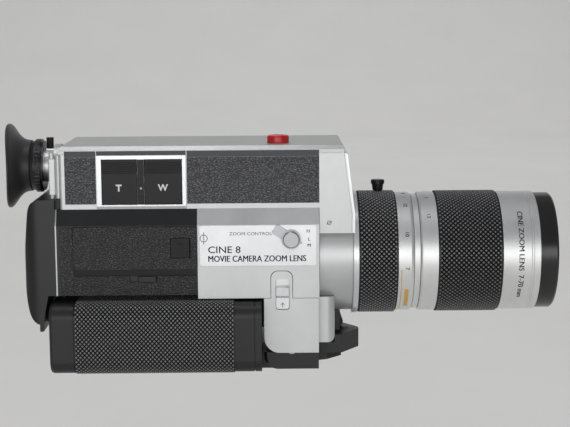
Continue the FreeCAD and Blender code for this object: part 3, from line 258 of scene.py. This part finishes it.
def soft_rubber(name, colour, rough, sheen, grain=1900.0, dusty=0.25):
    """Matt rubber, or the dark strip of painted shadow under the top cover's bevel, with slight clouding and
    settled dust.
    """
    f = Finish(name, Specular_IOR_Level=0.45, Sheen_Weight=sheen, Sheen_Roughness=0.5)
    cloud = f.noise(80.0, 4.0)
    dust = f.noise(900.0, 5.0, 0.7)
    base = f.ramp(cloud, (0.3, scaled(colour, 0.8)), (0.7, scaled(colour, 1.25)))
    f.set("Base Color", f.mixed(f.ramp(dust, (0.60, 0.0), (0.78, dusty)), base, (0.12, 0.12, 0.12)))
    f.set("Roughness", f.ramp(cloud, (0.3, rough * 0.88), (0.7, rough * 1.15)))
    f.bump((f.noise(grain, 3.0), 0.25, 0.03 * MM), edges=0.15 * MM)
    return f.material


def knurl_rubber(name, centre, flat, corner, height, crown):
    """Hard black rubber: matt in the grooves, with a painted highlight that lights the crowns to the crown colour.

    The crowns are told from the grooves by their height over a rounded box along X, which has its centre at
    (y, z), flats of half width and half height flat, and the corner radius."""
    f = Finish(name, Specular_IOR_Level=0.5)
    vector = f.coords
    for operation, amount in (("SUBTRACT", (0.0, *centre)), ("MULTIPLY", (0.0, 1.0, 1.0)), ("ABSOLUTE", None),
                              ("SUBTRACT", (0.0, *flat)), ("MAXIMUM", (0.0, 0.0, 0.0))):
        step = f.node("ShaderNodeVectorMath", operation=operation)
        f.link(vector, step.inputs[0])
        if amount:
            step.inputs[1].default_value = amount
        vector = step.outputs["Vector"]
    length = f.node("ShaderNodeVectorMath", operation="LENGTH")
    f.link(vector, length.inputs[0])
    rise = f.math("DIVIDE", f.math("SUBTRACT", length.outputs["Value"], corner), height, clamp=True)
    dust = f.noise(420.0, 5.0, 0.7)
    # Painted highlight: the crowns are lit to the crown colour by their height over the grooves, broken up by
    # noise.
    paler = f.math("MULTIPLY", f.ramp(rise, (0.45, 0.0), (0.97, 1.0)), f.ramp(dust, (0.30, 0.60), (0.70, 1.0)))
    f.set("Base Color", f.mixed(paler, (0.008, 0.008, 0.009), crown))
    f.set("Roughness", f.ramp(f.noise(90.0, 4.0), (0.3, 0.28), (0.7, 0.40)))
    f.bump((f.noise(2600.0, 3.0), 0.12, 0.02 * MM))
    return f.material


def gloss(name, colour, rough):
    """Polished coloured plastic."""
    f = Finish(name, Coat_Weight=0.35, Coat_Roughness=0.08, Specular_IOR_Level=0.5)
    cloud = f.noise(140.0, 4.0)
    f.set("Base Color", f.ramp(cloud, (0.3, scaled(colour, 0.82)), (0.7, colour)))
    f.set("Roughness", f.ramp(f.noise(600.0, 4.0), (0.3, rough), (0.7, rough * 1.8)))
    f.bump((f.noise(300.0, 2.0), 0.08, 0.05 * MM), edges=0.35 * MM)
    return f.material


def coated_glass(name, tint):
    """Lens glass with a thin coloured coating."""
    f = Finish(name, Transmission_Weight=1.0, IOR=1.52, Coat_Weight=0.5, Coat_Tint=(*tint, 1.0),
               Thin_Film_Thickness=420.0, Thin_Film_IOR=1.38)
    f.set("Base Color", f.ramp(f.noise(30.0, 2.0), (0.3, (0.86, 0.90, 0.95)), (0.7, (0.93, 0.95, 1.0))))
    f.set("Roughness", f.ramp(f.noise(220.0, 4.0), (0.4, 0.0), (0.9, 0.05)))
    return f.material


def print_ink(name, colour):
    """Flat screen-printed ink."""
    f = Finish(name, Specular_IOR_Level=0.3)
    f.set("Base Color", f.ramp(f.noise(1500.0, 3.0), (0.3, scaled(colour, 0.8)), (0.7, colour)))
    f.set("Roughness", f.ramp(f.noise(900.0, 2.0), (0.3, 0.45), (0.7, 0.6)))
    return f.material


SILVER = enamel("satin_silver_enamel", (0.57, 0.58, 0.58), (0.80, 0.80, 0.79), 0.38, 0.60)
# The top cover gets a darker copy of the satin silver: painted shade on the face that looks up.
TOP_SHADED_SILVER = enamel("top_silver_painted_shade", (0.45, 0.46, 0.46), (0.82, 0.82, 0.81), 0.34, 0.65)
BLACK = enamel("black_enamel", (0.008, 0.008, 0.009), (0.16, 0.16, 0.16), 0.38, 0.0, 4200.0, edge_paling=0.30)
ALUMINIUM = turned_metal("turned_satin_aluminium", (0.80, 0.805, 0.80), 0.42, metal=0.90)
PLATE = enamel("anodised_plate", (0.70, 0.715, 0.73), (0.84, 0.84, 0.84), 0.30, 0.7, 7000.0, 0.2 * MM)
ANODISED = turned_metal("black_anodised", (0.016, 0.016, 0.018), 0.34, 7000.0, 0.4, paler=(0.26, 0.26, 0.27))
# The hood has the strongest painted edge highlight, with handling wear.
HOOD = moulded("glossy_black_hood", (0.009, 0.008, 0.008), 0.24, 900.0, 0.02 * MM, shine=0.55, edge_paling=0.8)
STEEL = bright_metal("turned_steel", (0.42, 0.42, 0.44), 0.24)
BRASS = turned_metal("turned_brass", (0.66, 0.50, 0.23), 0.28, 6000.0)
PLASTIC = moulded("black_grip_plastic", (0.013, 0.013, 0.014), 0.42, shine=0.42)
SMOOTH_PLASTIC = moulded("black_button_plastic", (0.005, 0.005, 0.006), 0.30, 4200.0, 0.012 * MM,
                         shine=0.28)
# Dark strip under the top cover's bevel: painted shadow and dark reflection.
PAINTED_SHADOW = soft_rubber("painted_shadow_strip", (0.022, 0.027, 0.034), 0.30, 0.0, dusty=0.05)
LEATHER = grained_leather("pebbled_leatherette")
# The last colour of each knurl rubber is the painted highlight on its crowns.
ZOOM_RUBBER = knurl_rubber("zoom_ring_rubber", (0.0, LENS_Z), (0.0, 0.0), (ZOOM_GRIP_R - KNURL) * MM,
                           KNURL * MM, (0.20, 0.20, 0.205))
FOCUS_RUBBER = knurl_rubber("focus_ring_rubber", (0.0, LENS_Z), (0.0, 0.0), (FOCUS_GRIP_R - KNURL) * MM,
                            KNURL * MM, (0.155, 0.155, 0.16))
SLEEVE_CENTRE = ((SLEEVE_BOX[0] + SLEEVE_BOX[1]) / 2 * MM, (SLEEVE_BOX[2] + SLEEVE_BOX[3]) / 2 * MM)
SLEEVE_FLAT = (((SLEEVE_BOX[1] - SLEEVE_BOX[0]) / 2 - SLEEVE_CORNER) * MM,
               ((SLEEVE_BOX[3] - SLEEVE_BOX[2]) / 2 - SLEEVE_CORNER) * MM)
SLEEVE_RUBBER = knurl_rubber("grip_sleeve_rubber", SLEEVE_CENTRE, SLEEVE_FLAT, SLEEVE_CORNER * MM,
                             SLEEVE_KNURL * MM, (0.22, 0.22, 0.22))
CUP = soft_rubber("eyecup_rubber", (0.014, 0.014, 0.015), 0.42, 0.12, 1500.0, 0.10)
RED = gloss("red_release_plastic", (0.50, 0.002, 0.006), 0.30)
LENS = coated_glass("coated_lens_glass", (0.62, 0.66, 1.0))
SMOKED = gloss("smoked_window", (0.010, 0.011, 0.012), 0.10)
INK = print_ink("black_ink", (0.018, 0.018, 0.020))
WHITE = print_ink("white_ink", (0.78, 0.78, 0.76))
ORANGE = print_ink("orange_ink", (0.70, 0.42, 0.14))

FINISHES = {
    SILVER: "upper_housing right_front_cover left_front_cover bracket_cover release_nose front_housing"
            " rear_fittings",
    TOP_SHADED_SILVER: "top_cover",
    PLATE: "name_plate front_bezel button_bezel grip_lock",
    ALUMINIUM: "zoom_scale focus_scale front_barrel eyepiece_tube lens_tube",
    STEEL: "zoom_dial screws hinge_pins film_gate motors cap_screw take_up_spindle",
    BRASS: "zoom_pinion motor_pinion tripod_bush",
    BLACK: "main_body rear_cover base_block finger_guard film_door",
    PLASTIC: "side_switch door_latch grip_shell battery_cap speed_dial",
    SMOOTH_PLASTIC: "tele_button wide_button trigger socket_cover zoom_knob dioptre_lock",
    ANODISED: "dioptre_ring zoom_core focus_core variator optical_frame shutter",
    HOOD: "hood_ring",
    LEATHER: "leatherette",
    RED: "top_button",
    LENS: "front_lens inner_lenses",
    SMOKED: "counter_window door_window",
}
for finish, nodes in FINISHES.items():
    for node in nodes.split():
        for material_slot in bpy.data.objects[node].material_slots:
            material_slot.link = "OBJECT"
            material_slot.material = finish


# ---------------------------------------------------------------- mesh helpers
def piece(name, verts, faces, finish, body, smooth):
    """Mesh in one finish that rides on a body; edges sharper than smooth degrees stay hard, None shades flat."""
    mesh = bpy.data.meshes.new(name)
    mesh.from_pydata([tuple(v) for v in verts], [], faces)
    mesh.validate()
    mesh.update()
    made = bpy.data.objects.new(name, mesh)
    bpy.context.scene.collection.objects.link(made)
    mesh.materials.append(finish)
    if smooth is not None:
        mesh.shade_smooth()
        mesh.set_sharp_from_angle(angle=math.radians(smooth))
    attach(made, body)
    return made


def spline_through(points, steps):
    """Closed smooth curve through 2D points, as a list of (x, y)."""
    out = []
    count = len(points)
    for i in range(count):
        p0, p1, p2, p3 = (Vector(points[(i + k) % count]) for k in (-1, 0, 1, 2))
        for s in range(steps):
            t = s / steps
            out.append(tuple(0.5 * ((2 * p1) + (p2 - p0) * t + (2 * p0 - 5 * p1 + 4 * p2 - p3) * t * t
                                    + (3 * p1 - p0 - 3 * p2 + p3) * t ** 3)))
    return out


def lathe(name, profile, centre_z, turns, finish, body, reshape):
    """Solid of revolution about X from a closed (x, r) outline in millimetres; reshape works on its points."""
    verts, faces = [], []
    count = len(profile)
    for k in range(turns):
        a = 2 * math.pi * k / turns
        for x, r in profile:
            verts.append((x * MM, r * MM * math.sin(a), centre_z + r * MM * math.cos(a)))
    for k in range(turns):
        n = (k + 1) % turns
        for i in range(count):
            j = (i + 1) % count
            faces.append((k * count + i, k * count + j, n * count + j, n * count + i))
    return piece(name, reshape(verts), faces, finish, body, 60.0)


def diamond_knurled(name, path, x0, x1, columns, height, inner, finish, body):
    """Closed band of small blunt pyramids in staggered rows, all in millimetres.

    The grooves follow the path of (y, z, normal y, normal z); columns and the number of path steps are even.
    The band goes inner deep below the grooves."""
    crown = 0.42
    verts, faces = [], []
    rows = len(path)
    pitch = (x1 - x0) / columns
    groove = {}

    def at(i, j, out=0.0):
        y, z, ny, nz = path[j % rows]
        return Vector((x0 + pitch * i, y + ny * out, z + nz * out))

    def vertex(point):
        verts.append(tuple(c * MM for c in point))
        return len(verts) - 1

    for i in range(columns + 1):
        for j in range(rows):
            if (i + j) % 2 == 0:
                groove[i, j] = vertex(at(i, j))
    for i in range(columns + 1):
        for j in range(rows):
            if (i + j) % 2 == 0:
                continue
            above, below = (i, (j + 1) % rows), (i, (j - 1) % rows)
            if i == 0:
                faces.append((groove[below], groove[1, j], groove[above]))
                continue
            if i == columns:
                faces.append((groove[above], groove[i - 1, j], groove[below]))
                continue
            middle = at(i, j, height)
            corners = ((groove[below], at(i, j - 1, height)), (groove[i + 1, j], at(i + 1, j, height)),
                       (groove[above], at(i, j + 1, height)), (groove[i - 1, j], at(i - 1, j, height)))
            top = [vertex(middle + (point - middle) * crown) for _, point in corners]
            for k in range(4):
                m = (k + 1) % 4
                faces.append((corners[k][0], corners[m][0], top[m], top[k]))
            faces.append(tuple(top))
    ends = {(i, j): vertex(at(i, j, -inner)) for i in (0, columns) for j in range(0, rows, 2)}
    for j in range(0, rows, 2):
        n = (j + 2) % rows
        faces.append((ends[0, j], groove[0, j], groove[0, n], ends[0, n]))
        faces.append((groove[columns, j], ends[columns, j], ends[columns, n], groove[columns, n]))
        faces.append((ends[columns, j], ends[0, j], ends[0, n], ends[columns, n]))
    return piece(name, verts, faces, finish, body, 25.0)


def circle_path(radius, count):
    """Even steps round the lens axis, with outward normals."""
    path = []
    for k in range(count):
        y, z = math.cos(2 * math.pi * k / count), math.sin(2 * math.pi * k / count)
        path.append((radius * y, LENS_Z / MM + radius * z, y, z))
    return path


def rounded_box_path(y0, y1, z0, z1, corner, pitch):
    """Even steps round a rounded rectangle in the YZ plane, with outward normals."""
    line = []
    arc_steps = 40
    for cy, cz, start in ((y1 - corner, z1 - corner, 0), (y0 + corner, z1 - corner, 90),
                          (y0 + corner, z0 + corner, 180), (y1 - corner, z0 + corner, 270)):
        for k in range(arc_steps + 1):
            a = math.radians(start + 90 * k / arc_steps)
            line.append((cy + corner * math.cos(a), cz + corner * math.sin(a), math.cos(a), math.sin(a)))
    lengths = [0.0]
    closed = line + line[:1]
    for a, b in zip(closed, closed[1:]):
        lengths.append(lengths[-1] + math.hypot(b[0] - a[0], b[1] - a[1]))
    count = 2 * round(lengths[-1] / pitch / 2)
    path = []
    i = 0
    for k in range(count):
        s = lengths[-1] * k / count
        while lengths[i + 1] < s:
            i += 1
        t = (s - lengths[i]) / max(lengths[i + 1] - lengths[i], 1e-9)
        a, b = closed[i], closed[i + 1]
        path.append(tuple(a[m] + (b[m] - a[m]) * t for m in range(4)))
    return path


# ---------------------------------------------------------------- knurled rubber
LENS_ROWS = 164
zoom_knurl = diamond_knurled("zoom_grip_rubber", circle_path(ZOOM_GRIP_R - KNURL, LENS_ROWS), 42.05, 64.25, 16,
                             KNURL, 2.0, ZOOM_RUBBER, "zoom_ring")
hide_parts("zoom_grip")
focus_knurl = diamond_knurled("focus_grip_rubber", circle_path(FOCUS_GRIP_R - KNURL, LENS_ROWS), 87.45, 124.05, 26,
                              KNURL, 1.8, FOCUS_RUBBER, "focus_ring")
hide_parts("focus_grip")
sleeve = diamond_knurled("grip_sleeve_rubber", rounded_box_path(*SLEEVE_BOX, SLEEVE_CORNER, 1.3), -120.35, -29.35,
                         76, SLEEVE_KNURL, 0.5, SLEEVE_RUBBER, "grip")
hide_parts("grip_sleeve")

# ---------------------------------------------------------------- eyecup
CUP_OUTLINE = [(-162.5, 23.8), (-162.2, 24.5), (-161.2, 24.65), (-160.0, 23.8), (-158.2, 21.4), (-156.2, 18.8),
               (-154.0, 16.7), (-151.8, 15.5), (-149.2, 15.0), (-148.5, 14.9), (-148.45, 14.4), (-151.6, 13.35),
               (-151.9, 12.3), (-152.9, 12.3), (-153.4, 13.2), (-154.8, 15.2), (-156.8, 17.9), (-158.8, 20.9),
               (-160.5, 22.9), (-161.7, 23.3)]


def cupped(verts):
    """Draws the rim forward at both sides, so that it follows the face."""
    neck_x, depth, rim_r, drawn = -0.1535, 0.009, 0.0246, 0.0030
    shaped = []
    for x, y, z in verts:
        flare = max(0.0, min(1.0, (neck_x - x) / depth))
        shaped.append((x + drawn * flare * (y / rim_r) ** 2, y, z))
    return shaped


cup = lathe("eyecup_soft", spline_through(CUP_OUTLINE, 4), EYE_Z, 96, CUP,
            "eyepiece_ring", cupped)
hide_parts("eyecup")


# ---------------------------------------------------------------- printed marks
INK_THICKNESS = 0.03 * MM


def text_mesh(text, size, weight=0.0, width=None, strike=0.0):
    """Letter shapes as a thin solid in the XY plane, centred, from sizes in millimetres; width sets the run.

    Weight thickens the strokes all round; strike widens them by a second print beside the first."""
    curve = bpy.data.curves.new("letters", "FONT")
    curve.body = text
    curve.size = size * MM
    curve.align_x = "CENTER"
    curve.align_y = "CENTER"
    curve.extrude = INK_THICKNESS
    curve.resolution_u = 3
    curve.offset = weight * MM
    holder = bpy.data.objects.new("letters", curve)
    bpy.context.scene.collection.objects.link(holder)
    shape = bpy.data.meshes.new_from_object(holder.evaluated_get(bpy.context.evaluated_depsgraph_get()))
    bpy.data.objects.remove(holder)
    if width:
        across = [v.co.x for v in shape.vertices]
        middle = (max(across) + min(across)) / 2
        squeeze = width * MM / (max(across) - min(across))
        for v in shape.vertices:
            v.co.x = (v.co.x - middle) * squeeze
    if strike:
        points = [tuple(v.co) for v in shape.vertices]
        polygons = [tuple(p.vertices) for p in shape.polygons]
        again = [tuple(i + len(points) for i in polygon) for polygon in polygons]
        shape = bpy.data.meshes.new("letters_twice")
        twice = [(x + side * strike * MM / 2, y, z) for side in (-1, 1) for x, y, z in points]
        shape.from_pydata(twice, [], polygons + again)
    return shape


def mark(name, shape, place, finish, body):
    """Lays a thin flat mesh on a surface; place turns (right, up, out) into a point."""
    verts = [place(v.co.x, v.co.y, v.co.z + INK_THICKNESS) for v in shape.vertices]
    faces = [tuple(p.vertices) for p in shape.polygons]
    return piece(name, verts, faces, finish, body, None)


def on_side(x, z, y):
    """Flat on a face that looks to -Y."""
    return lambda u, v, w: (x * MM + u, y * MM - w, z * MM + v)


def on_barrel(x, degrees, radius):
    """Round a barrel, tops towards the lens front; degrees are above the -Y direction."""
    def place(u, v, w):
        a = math.radians(degrees) - u / (radius * MM)
        r = radius * MM + w
        return (x * MM + v, -r * math.cos(a), LENS_Z + r * math.sin(a))
    return place


def outline_strip(points, width, closed=False):
    """Thin drawn line through (right, up) points in millimetres, as a solid strip."""
    verts, faces = [], []
    count = len(points)
    points = [Vector(point) * MM for point in points]
    for i, p in enumerate(points):
        before = points[i - 1] if closed or i else p
        after = points[(i + 1) % count] if closed or i < count - 1 else p
        along = (after - before).normalized()
        side = Vector((-along.y, along.x)) * width * MM / 2
        for s in (side, -side):
            for w in (-INK_THICKNESS, INK_THICKNESS):
                verts.append((p.x + s.x, p.y + s.y, w))
    last = count if closed else count - 1
    for i in range(last):
        a, b = 4 * i, 4 * ((i + 1) % count)
        for k, m in ((0, 1), (1, 3), (3, 2), (2, 0)):
            faces.append((a + k, a + m, b + m, b + k))
    if not closed:
        faces.append((0, 1, 3, 2))
        faces.append((4 * count - 4, 4 * count - 2, 4 * count - 1, 4 * count - 3))
    shape = bpy.data.meshes.new("strip")
    shape.from_pydata(verts, [], faces)
    return shape


def circle_line(radius, count, width):
    """Drawn circle, in millimetres."""
    angles = [2 * math.pi * k / count for k in range(count)]
    return outline_strip([(radius * math.cos(a), radius * math.sin(a)) for a in angles], width, True)


def arc_band(degrees0, degrees1, width, radius):
    """Painted band round the barrel between two angles, in millimetres."""
    steps = 24
    span = math.radians(degrees1 - degrees0) * radius
    return outline_strip([(span * (k / steps - 0.5), 0) for k in range(steps + 1)], width)


KEY_Y = -34.6
HOUSING_Y = -34.0
LOCK_Y = -37.0
PLATE_Y = -38.0
SCALE_R = 35.0
FOCUS_SCALE_R = 35.1
KEY_TEXT_Z = 105.8


def on_plate(name, shape, x, z):
    mark(name, shape, on_side(x, z, PLATE_Y), INK, "camera_body")


mark("letter_tele", text_mesh("T", 5.2, 0.20), on_side(-94.4, KEY_TEXT_Z, KEY_Y), WHITE, "tele")
mark("letter_wide", text_mesh("W", 5.2, 0.14), on_side(-69.4, KEY_TEXT_Z + 0.1, KEY_Y), WHITE, "wide")
for letter, x, z in (("H", 12.6, 81.0), ("L", 13.1, 76.3), ("M", 13.1, 72.8)):
    on_plate("letter_" + letter, text_mesh(letter, 2.7, strike=0.14), x, z)
on_plate("label_zoom_control", text_mesh("ZOOM CONTROL", 2.6, width=24.2), -20.0, 79.7)
on_plate("film_plane_circle", circle_line(2.0, 28, 0.32), -46.6, 77.3)
on_plate("film_plane_line", outline_strip([(0, -3.6), (0, 3.6)], 0.32), -46.6, 77.3)
on_plate("label_cine", text_mesh("CINE 8", 5.4, 0.05, 18.4), -35.0, 70.5)
on_plate("label_camera", text_mesh("MOVIE CAMERA ZOOM LENS", 5.0, width=55.4, strike=0.24), -16.4, 65.3)
sight = on_side(24.7, 85.1, HOUSING_Y)
mark("sight_ring", circle_line(1.1, 16, 0.3), sight, INK, "camera_body")
mark("sight_bar", outline_strip([(-1.6, -0.9), (1.6, 0.9)], 0.3), sight, INK, "camera_body")
lock = on_side(-2.1, 38.2, LOCK_Y)
mark("lock_arrow_head", outline_strip([(-1.0, 0.2), (0, 1.4), (1.0, 0.2)], 0.35), lock, INK, "lock_slider")
mark("lock_arrow_stem", outline_strip([(0, -1.3), (0, 1.2)], 0.35), lock, INK, "lock_slider")

ZOOM_MARKS = (("7", -7.7), ("10", 25.0), ("12", 58.4), ("15", 84.0), ("20", 110.0), ("30", 139.0),
              ("50", 170.0), ("70", 198.0))
for number, degrees in ZOOM_MARKS:
    mark("zoom_number_" + number, text_mesh(number, 3.2, 0.05), on_barrel(69.3, degrees, SCALE_R), INK,
         "zoom_ring")
FOCUS_MARKS = (("1.5", 44.0), ("2", 70.6), ("3", 97.0), ("5", 124.0), ("10", 152.0), ("20", 184.0))
for number, degrees in FOCUS_MARKS:
    mark("focus_number_" + number.replace(".", "_"), text_mesh(number, 2.7, 0.04),
         on_barrel(82.3, degrees, FOCUS_SCALE_R), INK, "focus_ring")
mark("barrel_label", text_mesh("CINE ZOOM LENS  7-70 mm", 4.3, width=54.8, strike=0.20),
     on_barrel(134.6, 3.5, SCALE_R), INK, "front_group")
for name, x, degrees0, degrees1, width in (("macro_line", 66.2, -9.0, -70.0, 0.45),
                                           ("macro_band", 69.4, -30.0, -57.0, 2.4)):
    mark(name, arc_band(degrees0, degrees1, width, SCALE_R), on_barrel(x, (degrees0 + degrees1) / 2, SCALE_R),
         ORANGE, "zoom_ring")


# ---------------------------------------------------------------- key strip
def inlay(name, x0, x1, z0, z1, y, proud, finish, body):
    """Thin plate with chamfered edges laid on a face that looks to -Y, in millimetres."""
    cut = proud * 0.8
    verts, faces = [], []
    for inset, out in ((0.0, 0.0), (0.0, proud - cut), (cut, proud)):
        for x, z in ((x0 + inset, z0 + inset), (x1 - inset, z0 + inset), (x1 - inset, z1 - inset),
                     (x0 + inset, z1 - inset)):
            verts.append((x * MM, (y - out) * MM, z * MM))
    faces.append((3, 2, 1, 0))
    for row in (0, 4):
        for k in range(4):
            m = (k + 1) % 4
            faces.append((row + k, row + m, row + 4 + m, row + 4 + k))
    faces.append((8, 9, 10, 11))
    return piece(name, verts, faces, finish, body, 30.0)


# the dark band under the bevel of the top cover, in three runs: painted shadow and dark reflection where the lip
# overhangs the panels
for band, x0, x1, z0 in (("rear", -124.9, -107.2, 123.3), ("middle", -106.8, -56.3, 124.55),
                         ("front", -55.8, 19.1, 123.3)):
    inlay("shadow_band_" + band, x0, x1, z0, 126.9, HOUSING_Y, 0.1, PAINTED_SHADOW, "camera_body")
BRIDGE_Y, BRIDGE_PROUD = -35.0, 0.12
inlay("key_bridge", -83.75, -79.95, 96.5, 122.2, BRIDGE_Y, BRIDGE_PROUD, SMOOTH_PLASTIC, "camera_body")
mark("key_dot", circle_line(0.42, 16, 0.3), on_side(-81.8, KEY_TEXT_Z, BRIDGE_Y - BRIDGE_PROUD), WHITE,
     "camera_body")

# ---------------------------------------------------------------- floor and backdrop
# The ground lies below the stand that lifts the camera, so the unfolded grip hangs clear of it.
GROUND_Z, GROUND_FRONT_Y, HALF_WIDTH = -0.150, -6.0, 8.0
WALL_Y, WALL_CURVE, WALL_TOP, CURVE_STEPS = 3.2, 1.2, 5.0, 16
profile = [(GROUND_FRONT_Y, GROUND_Z), (WALL_Y, GROUND_Z)]
for k in range(1, CURVE_STEPS + 1):
    a = math.radians(90 * k / CURVE_STEPS)
    profile.append((WALL_Y + WALL_CURVE * math.sin(a), GROUND_Z + WALL_CURVE * (1 - math.cos(a))))
profile.append((WALL_Y + WALL_CURVE, WALL_TOP))
floor_verts = [(x, y, z) for x in (-HALF_WIDTH, HALF_WIDTH) for y, z in profile]
n = len(profile)
floor_mesh = bpy.data.meshes.new("floor")
floor_mesh.from_pydata(floor_verts, [], [(i, n + i, n + i + 1, i + 1) for i in range(n - 1)])
floor_mesh.shade_smooth()
floor = bpy.data.objects.new("floor", floor_mesh)
bpy.context.scene.collection.objects.link(floor)
paper = Finish("pale_paper", Specular_IOR_Level=0.2, Roughness=0.9)
paper.set("Base Color", paper.ramp(paper.noise(6.0, 3.0), (0.3, (0.60, 0.595, 0.585)),
                                   (0.7, (0.62, 0.615, 0.605))))
floor_mesh.materials.append(paper.material)


# ---------------------------------------------------------------- light
def area_light(name, location, target, size, watts, colour=(1, 1, 1), mirrored=True):
    """Rectangular softbox; mirrored says whether glossy surfaces show it."""
    data = bpy.data.lights.new(name, "AREA")
    data.shape = "RECTANGLE"
    data.size, data.size_y = size
    data.energy = watts
    data.color = colour
    lamp = bpy.data.objects.new(name, data)
    lamp.location = location
    lamp.visible_glossy = mirrored
    lamp.visible_camera = False
    lamp.rotation_mode = "QUATERNION"
    lamp.rotation_quaternion = (Vector(target) - Vector(location)).to_track_quat("-Z", "Y")
    bpy.context.scene.collection.objects.link(lamp)


area_light("front", (-0.10, -1.6, 0.165), (0, 0, 0.06), (2.2, 0.53), 9.4, (1.0, 1.0, 0.995))
area_light("key", (-0.15, -0.14, 1.1), (-0.06, -0.04, 0.1), (0.40, 0.22), 1.1, (1.0, 0.998, 0.99))
area_light("near_wash", (0.0, 0.26, 1.5), (0, 0.75, 0.2), (1.8, 0.6), 6.4, mirrored=False)
area_light("backdrop_wash", (0.0, 2.6, 2.8), (0, 3.0, 0.0), (5.0, 3.0), 82.0, mirrored=False)
area_light("floor_fill", (0.15, -1.0, 1.3), (0.1, -0.25, 0.0), (1.8, 0.6), 8.0, mirrored=False)

world = bpy.data.worlds.new("studio")
world.use_nodes = True
sky = world.node_tree.nodes["Background"]
sky.inputs["Color"].default_value = (0.80, 0.82, 0.85, 1)
sky.inputs["Strength"].default_value = 0.27
bpy.context.scene.world = world
bpy.context.scene.view_settings.view_transform = "Standard"

# ---------------------------------------------------------------- view
EYE = Vector((-0.0073, -0.8214, 0.2013))
PITCH, YAW, ROLL = math.radians(8.0), math.radians(0.5), math.radians(-0.4)
ahead = Vector((math.sin(YAW) * math.cos(PITCH), math.cos(YAW) * math.cos(PITCH), -math.sin(PITCH)))
level = Vector((math.cos(YAW), -math.sin(YAW), 0))
right = math.cos(ROLL) * level + math.sin(ROLL) * level.cross(ahead)
up = right.cross(ahead)
camera = bpy.data.objects.new("camera", bpy.data.cameras.new("camera"))
camera.data.sensor_width = 36.0
camera.data.lens = 88.4         # millimetres
camera.matrix_world = Matrix.Translation(EYE) @ Matrix((right, up, -ahead)).transposed().to_4x4()
bpy.context.scene.collection.objects.link(camera)
bpy.context.scene.camera = camera
